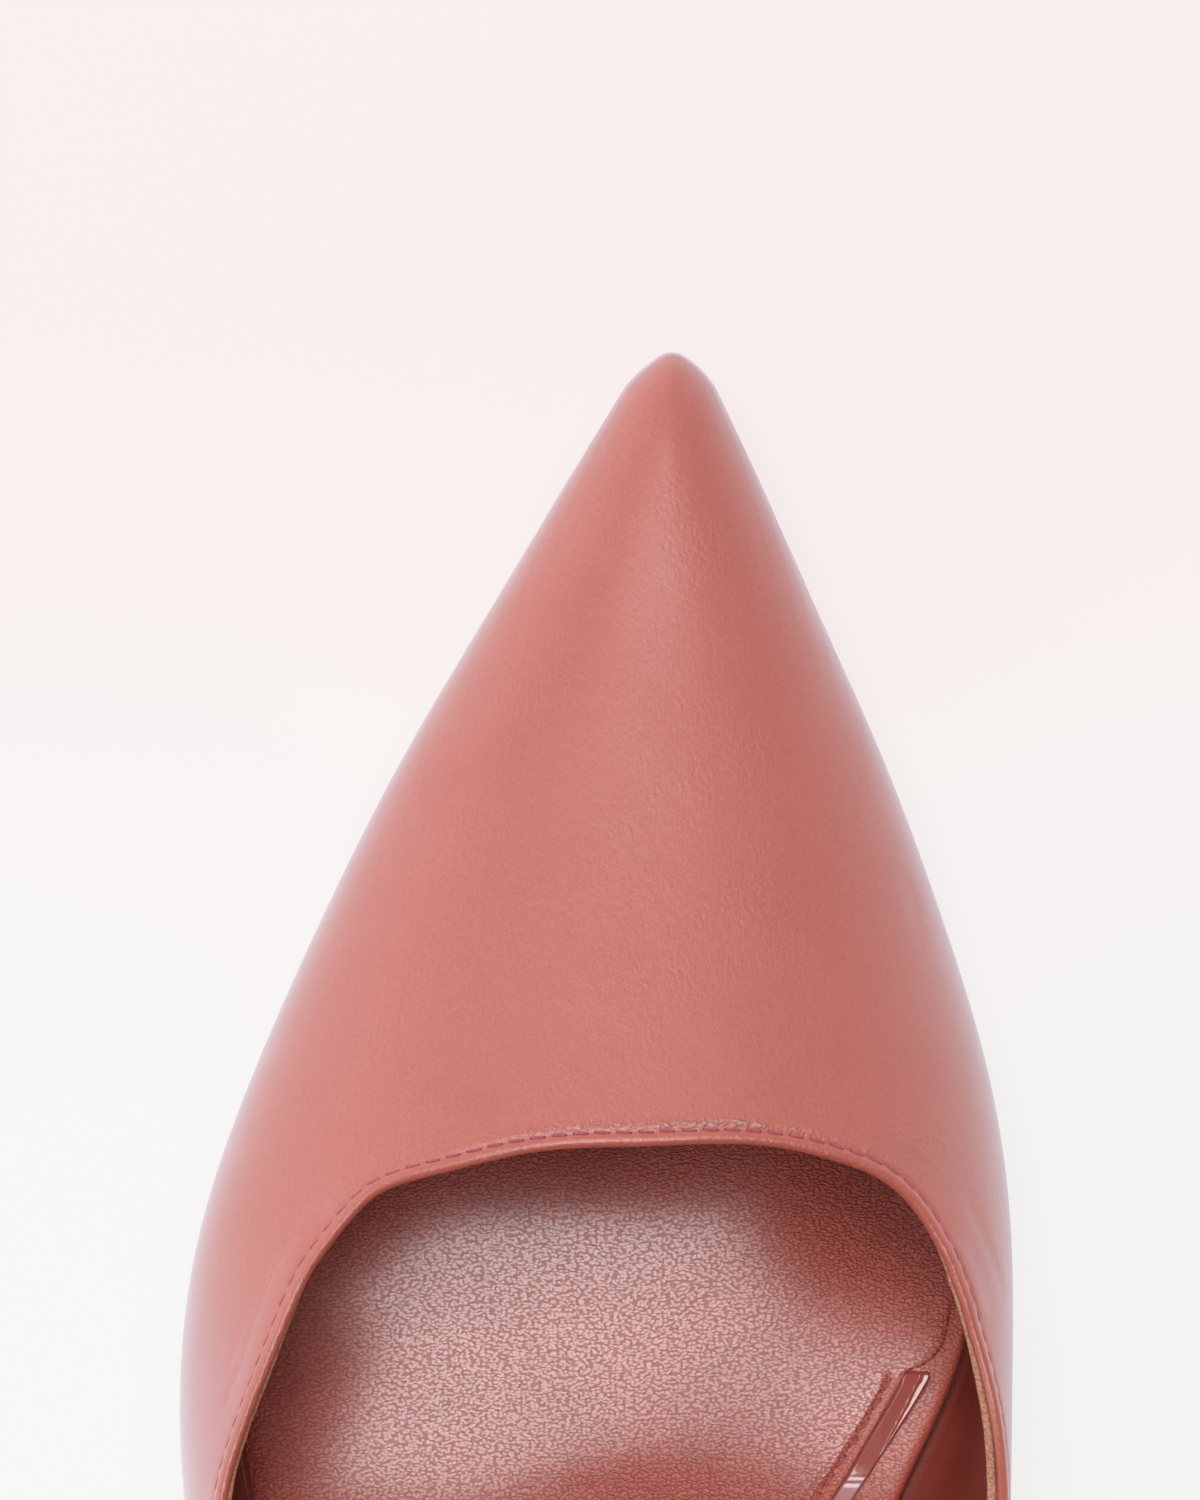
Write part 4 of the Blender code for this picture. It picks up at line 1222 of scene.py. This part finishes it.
OUTSOLE_FROM = FEATHER_TIP - OUTSOLE_EDGE
OUTSOLE_SOFT = 0.45  # how far the bulging edge draws in above and below
CHANNEL_IN, CHANNEL_WIDE, CHANNEL_DEEP = 3.6, 0.35, 0.25  # the groove round the underside
BREAST_AT = 189
HEEL_EDGE = 0.8
HEEL_SOFT = 0.7  # width of the bevel on the heel's edges
HEEL_TIP_AT, HEEL_TIP_LONG, HEEL_TIP_WIDE = 219.5, 10, 9.6
WIDE_TAPER, BREAST_TAPER, BACK_TAPER = 2.6, 3.2, 2
TOP_LIFT_THICK = 6
TOP_LIFT_ROWS = ((0, 0.5), (0.15, 0.2), (0.5, 0), (TOP_LIFT_THICK - 0.1, 0), (TOP_LIFT_THICK, 0.1))
HEEL_SIDE_STEPS, HEEL_BREAST_STEPS, HEEL_RINGS = 96, 24, 90


def make_outsole():
    nose = nose_places(OUTSOLE_FROM, 0.03, 14)
    rest = np.linspace(OUTSOLE_FROM + TOE_ROUND, BREAST_AT - GAP, 230)
    at = np.concatenate([nose, rest])[:, None]
    outer, inner = sole_edges(at, OUTSOLE_EDGE)
    half = (outer - inner) / 2
    middle = (outer + inner) / 2
    # share across, height above the underside, how far in from the edge, on the edge or not
    turns = [math.pi * i / 6 - math.pi / 2 for i in range(7)]
    right = [(1, OUTSOLE_THICK / 2 * (1 + math.sin(t)), OUTSOLE_SOFT * (1 - math.cos(t)), 1) for t in turns]
    top = [(share, OUTSOLE_THICK, 0, 0) for share in np.linspace(0.9, -0.9, 9)]
    left = [(-1, *rest) for _, *rest in right[::-1]]
    bottom = [(share, 0, 0, 0) for share in np.linspace(-0.97, 0.97, 25)]
    side, high, back, mark = np.array(right + top + left + bottom).T
    x = middle + half * side - np.sign(side) * np.minimum(back, half * 0.3)
    channel = hump(half - np.abs(x - middle), CHANNEL_IN, CHANNEL_WIDE) * (high == 0)
    rings = spots(x, at, layer_height(at, high) + CHANNEL_DEEP * channel)
    look = sole_leather(), "sole_leather"
    closed_piece("outsole_leather", rings, *look, ["outsole"], flip=True, on_edge=mark)


def heel_rings():
    """Outlines of the heel's top and tip, point for point: round the back, then across the breast."""
    turn = np.pi * np.arange(HEEL_SIDE_STEPS + 1) / HEEL_SIDE_STEPS
    top_at = BREAST_AT + (LENGTH + HEEL_EDGE - BREAST_AT) * np.sin(turn)
    top_x = np.where(turn <= np.pi / 2, *sole_edges(top_at, HEEL_EDGE))
    tip_x = HEEL_X + HEEL_TIP_WIDE / 2 * np.cos(turn)
    tip_at = HEEL_TIP_AT - HEEL_TIP_LONG / 2 + HEEL_TIP_LONG * np.sin(turn)
    share = (np.arange(1, HEEL_BREAST_STEPS) / HEEL_BREAST_STEPS)[:, None]
    rings = []
    for x, at in ((top_x, top_at), (tip_x, tip_at)):
        ring = spots(x, at)
        rings.append(np.concatenate([ring, ring[-1] + (ring[0] - ring[-1]) * share]))
    return rings


def make_heel():
    top, tip = heel_rings()
    low = TOP_LIFT_THICK + 0.05
    up = 1 - (np.arange(HEEL_RINGS + 1) / HEEL_RINGS)[:, None]
    to_back = (top[:, 1] - BREAST_AT) / (LENGTH + HEEL_EDGE - BREAST_AT)
    x = tip[:, 0] + (top[:, 0] - tip[:, 0]) * up**WIDE_TAPER
    at = tip[:, 1] + (top[:, 1] - tip[:, 1]) * up ** (BREAST_TAPER + (BACK_TAPER - BREAST_TAPER) * to_back)
    z = low + (layer_height(top[:, 1], OUTSOLE_THICK) - low) * up
    across = [(a, a + 1, HEEL_SIDE_STEPS - a - 1, HEEL_SIDE_STEPS - a) for a in range(HEEL_SIDE_STEPS // 2)]
    seat = [list(dict.fromkeys(corners))[::-1] for corners in across]
    look = nappa("heel_nappa"), "heel_cover"
    piece = closed_piece("heel_covering", spots(x, at, z), *look, ["heel"], first_cap=seat)
    bevel = piece.modifiers.new("soften", "BEVEL")
    bevel.width = HEEL_SOFT * MM
    bevel.segments = 3
    bevel.limit_method = "ANGLE"
    bevel.angle_limit = math.radians(40)


def make_top_lift():
    _, tip = heel_rings()
    inwards = unit(np.array([HEEL_X, HEEL_TIP_AT]) - tip)
    rows = []
    for height, by in TOP_LIFT_ROWS:
        rows.append(spots(*(tip + inwards * by).T, height))
    look = rubber(), "top_lift_rubber"
    closed_piece("top_lift_piece", np.array(rows), *look, ["top_lift"], flip=True)


# ---------------- stage

CAMERA_PLACE = (-0.364, 38.61, 1100)  # the camera looks straight down from here
CAMERA_LENS = 269.4
FLOOR_SIZE, FLOOR_STEPS = 12, 13
PAPER = (0.15, 0.145, 0.143)
GLOW_FRONT = (0.812, 0.732, 0.727, 1)
GLOW_BEHIND = (0.802, 0.801, 0.794, 1)
SKY = (1, 0.985, 0.975, 1)
WHITE, COOL = (1, 1, 1), (0.68, 0.97, 1)


def make_camera():
    data = bpy.data.cameras.new("camera")
    data.sensor_width = 36
    data.lens = CAMERA_LENS
    camera = add_object("camera", data)
    camera.location = world(CAMERA_PLACE)
    camera.rotation_euler = (0, 0, math.pi)
    bpy.context.scene.camera = camera


def floor_material():
    """Pale paper that glows a little, as on a light table, so that shadows on it stay faint."""
    look = Look("floor_paper", PAPER, 0.9, Specular_IOR_Level=0, Emission_Strength=1)
    share = look.spread(look.axes(look.place)["Y"], -125, -40)
    look.put(look.shader.inputs["Emission Color"], look.mixed(share, GLOW_FRONT, GLOW_BEHIND))
    return look.material


def make_floor():
    mesh = bpy.data.meshes.new("floor")
    steps = np.linspace(-FLOOR_SIZE / 2, FLOOR_SIZE / 2, FLOOR_STEPS)
    points = [(x, y, 0) for y in steps for x in steps]
    mesh.from_pydata(points, [], sheet_faces(FLOOR_STEPS, FLOOR_STEPS))
    mesh.materials.append(floor_material())
    add_object("floor", mesh)


def soft_light(name, location, size, radiance, colour):
    """A rectangular soft box turned to the shoe. radiance 1 is as bright as white paper in full light."""
    data = bpy.data.lights.new(name, "AREA")
    data.shape = "RECTANGLE"
    data.size, data.size_y = size
    data.energy = radiance * math.pi * size[0] * size[1]
    data.color = colour
    light = add_object(name, data)
    light.location = location
    to_shoe = Vector((0, -0.05, 0.03)) - Vector(location)
    light.rotation_euler = to_shoe.to_track_quat("-Z", "Y").to_euler()


def make_world():
    """A pale studio, as bright as the floor round the horizon, dimmer above and on the inner side."""
    background = bpy.data.worlds.new("studio")
    background.use_nodes = True
    nodes = Nodes(background.node_tree)
    axes = nodes.axes(nodes.add("ShaderNodeTexCoord").outputs["Generated"])
    ramp = nodes.spread(axes["Z"], 0.1, 0.5, 0.94, 0.3)
    across = nodes.spread(axes["X"], -0.7, 0.3, 0.65, 1, curve="LINEAR")
    low = nodes.spread(axes["Z"], 0.12, 0.22, 0.9, 0, curve="LINEAR")
    strength = nodes.times(ramp, nodes.maths("MAXIMUM", across, low))
    nodes.fill(nodes.tree.nodes["Background"], {"Color": SKY, "Strength": strength})
    bpy.context.scene.world = background


def make_stage():
    make_camera()
    make_floor()
    # a soft box nearly overhead, long as the shoe lies, and a wide dimmer one to the outer side
    soft_light("overhead", (0.12, -0.36, 1.6), (0.66, 1.05), 6.9, WHITE)
    soft_light("outer_side", (1.4, -0.3, 0.72), (1.2, 0.9), 2, COOL)
    make_world()
    bpy.context.scene.view_settings.view_transform = "Standard"


def make_shoe():
    lines = lines_from_topline()
    field = field_at(*lines, ROLL, BAND_STEP, FIELD_ROWS)
    skin_points = raised(field)
    make_upper(field, skin_points)
    make_lining(*lines)
    plum = thread("plum_thread", PLUM_THREAD)
    make_topline_stitches(field, skin_points, plum)
    sock = sock_leather()
    make_insole(sock)
    make_sock_cover(sock)
    make_arch_strip()
    make_arch_stitches(thread("arch_thread", ARCH_THREAD, 0.3))
    make_strap(plum)
    make_outsole()
    make_heel()
    make_top_lift()


make_stage()
make_shoe()
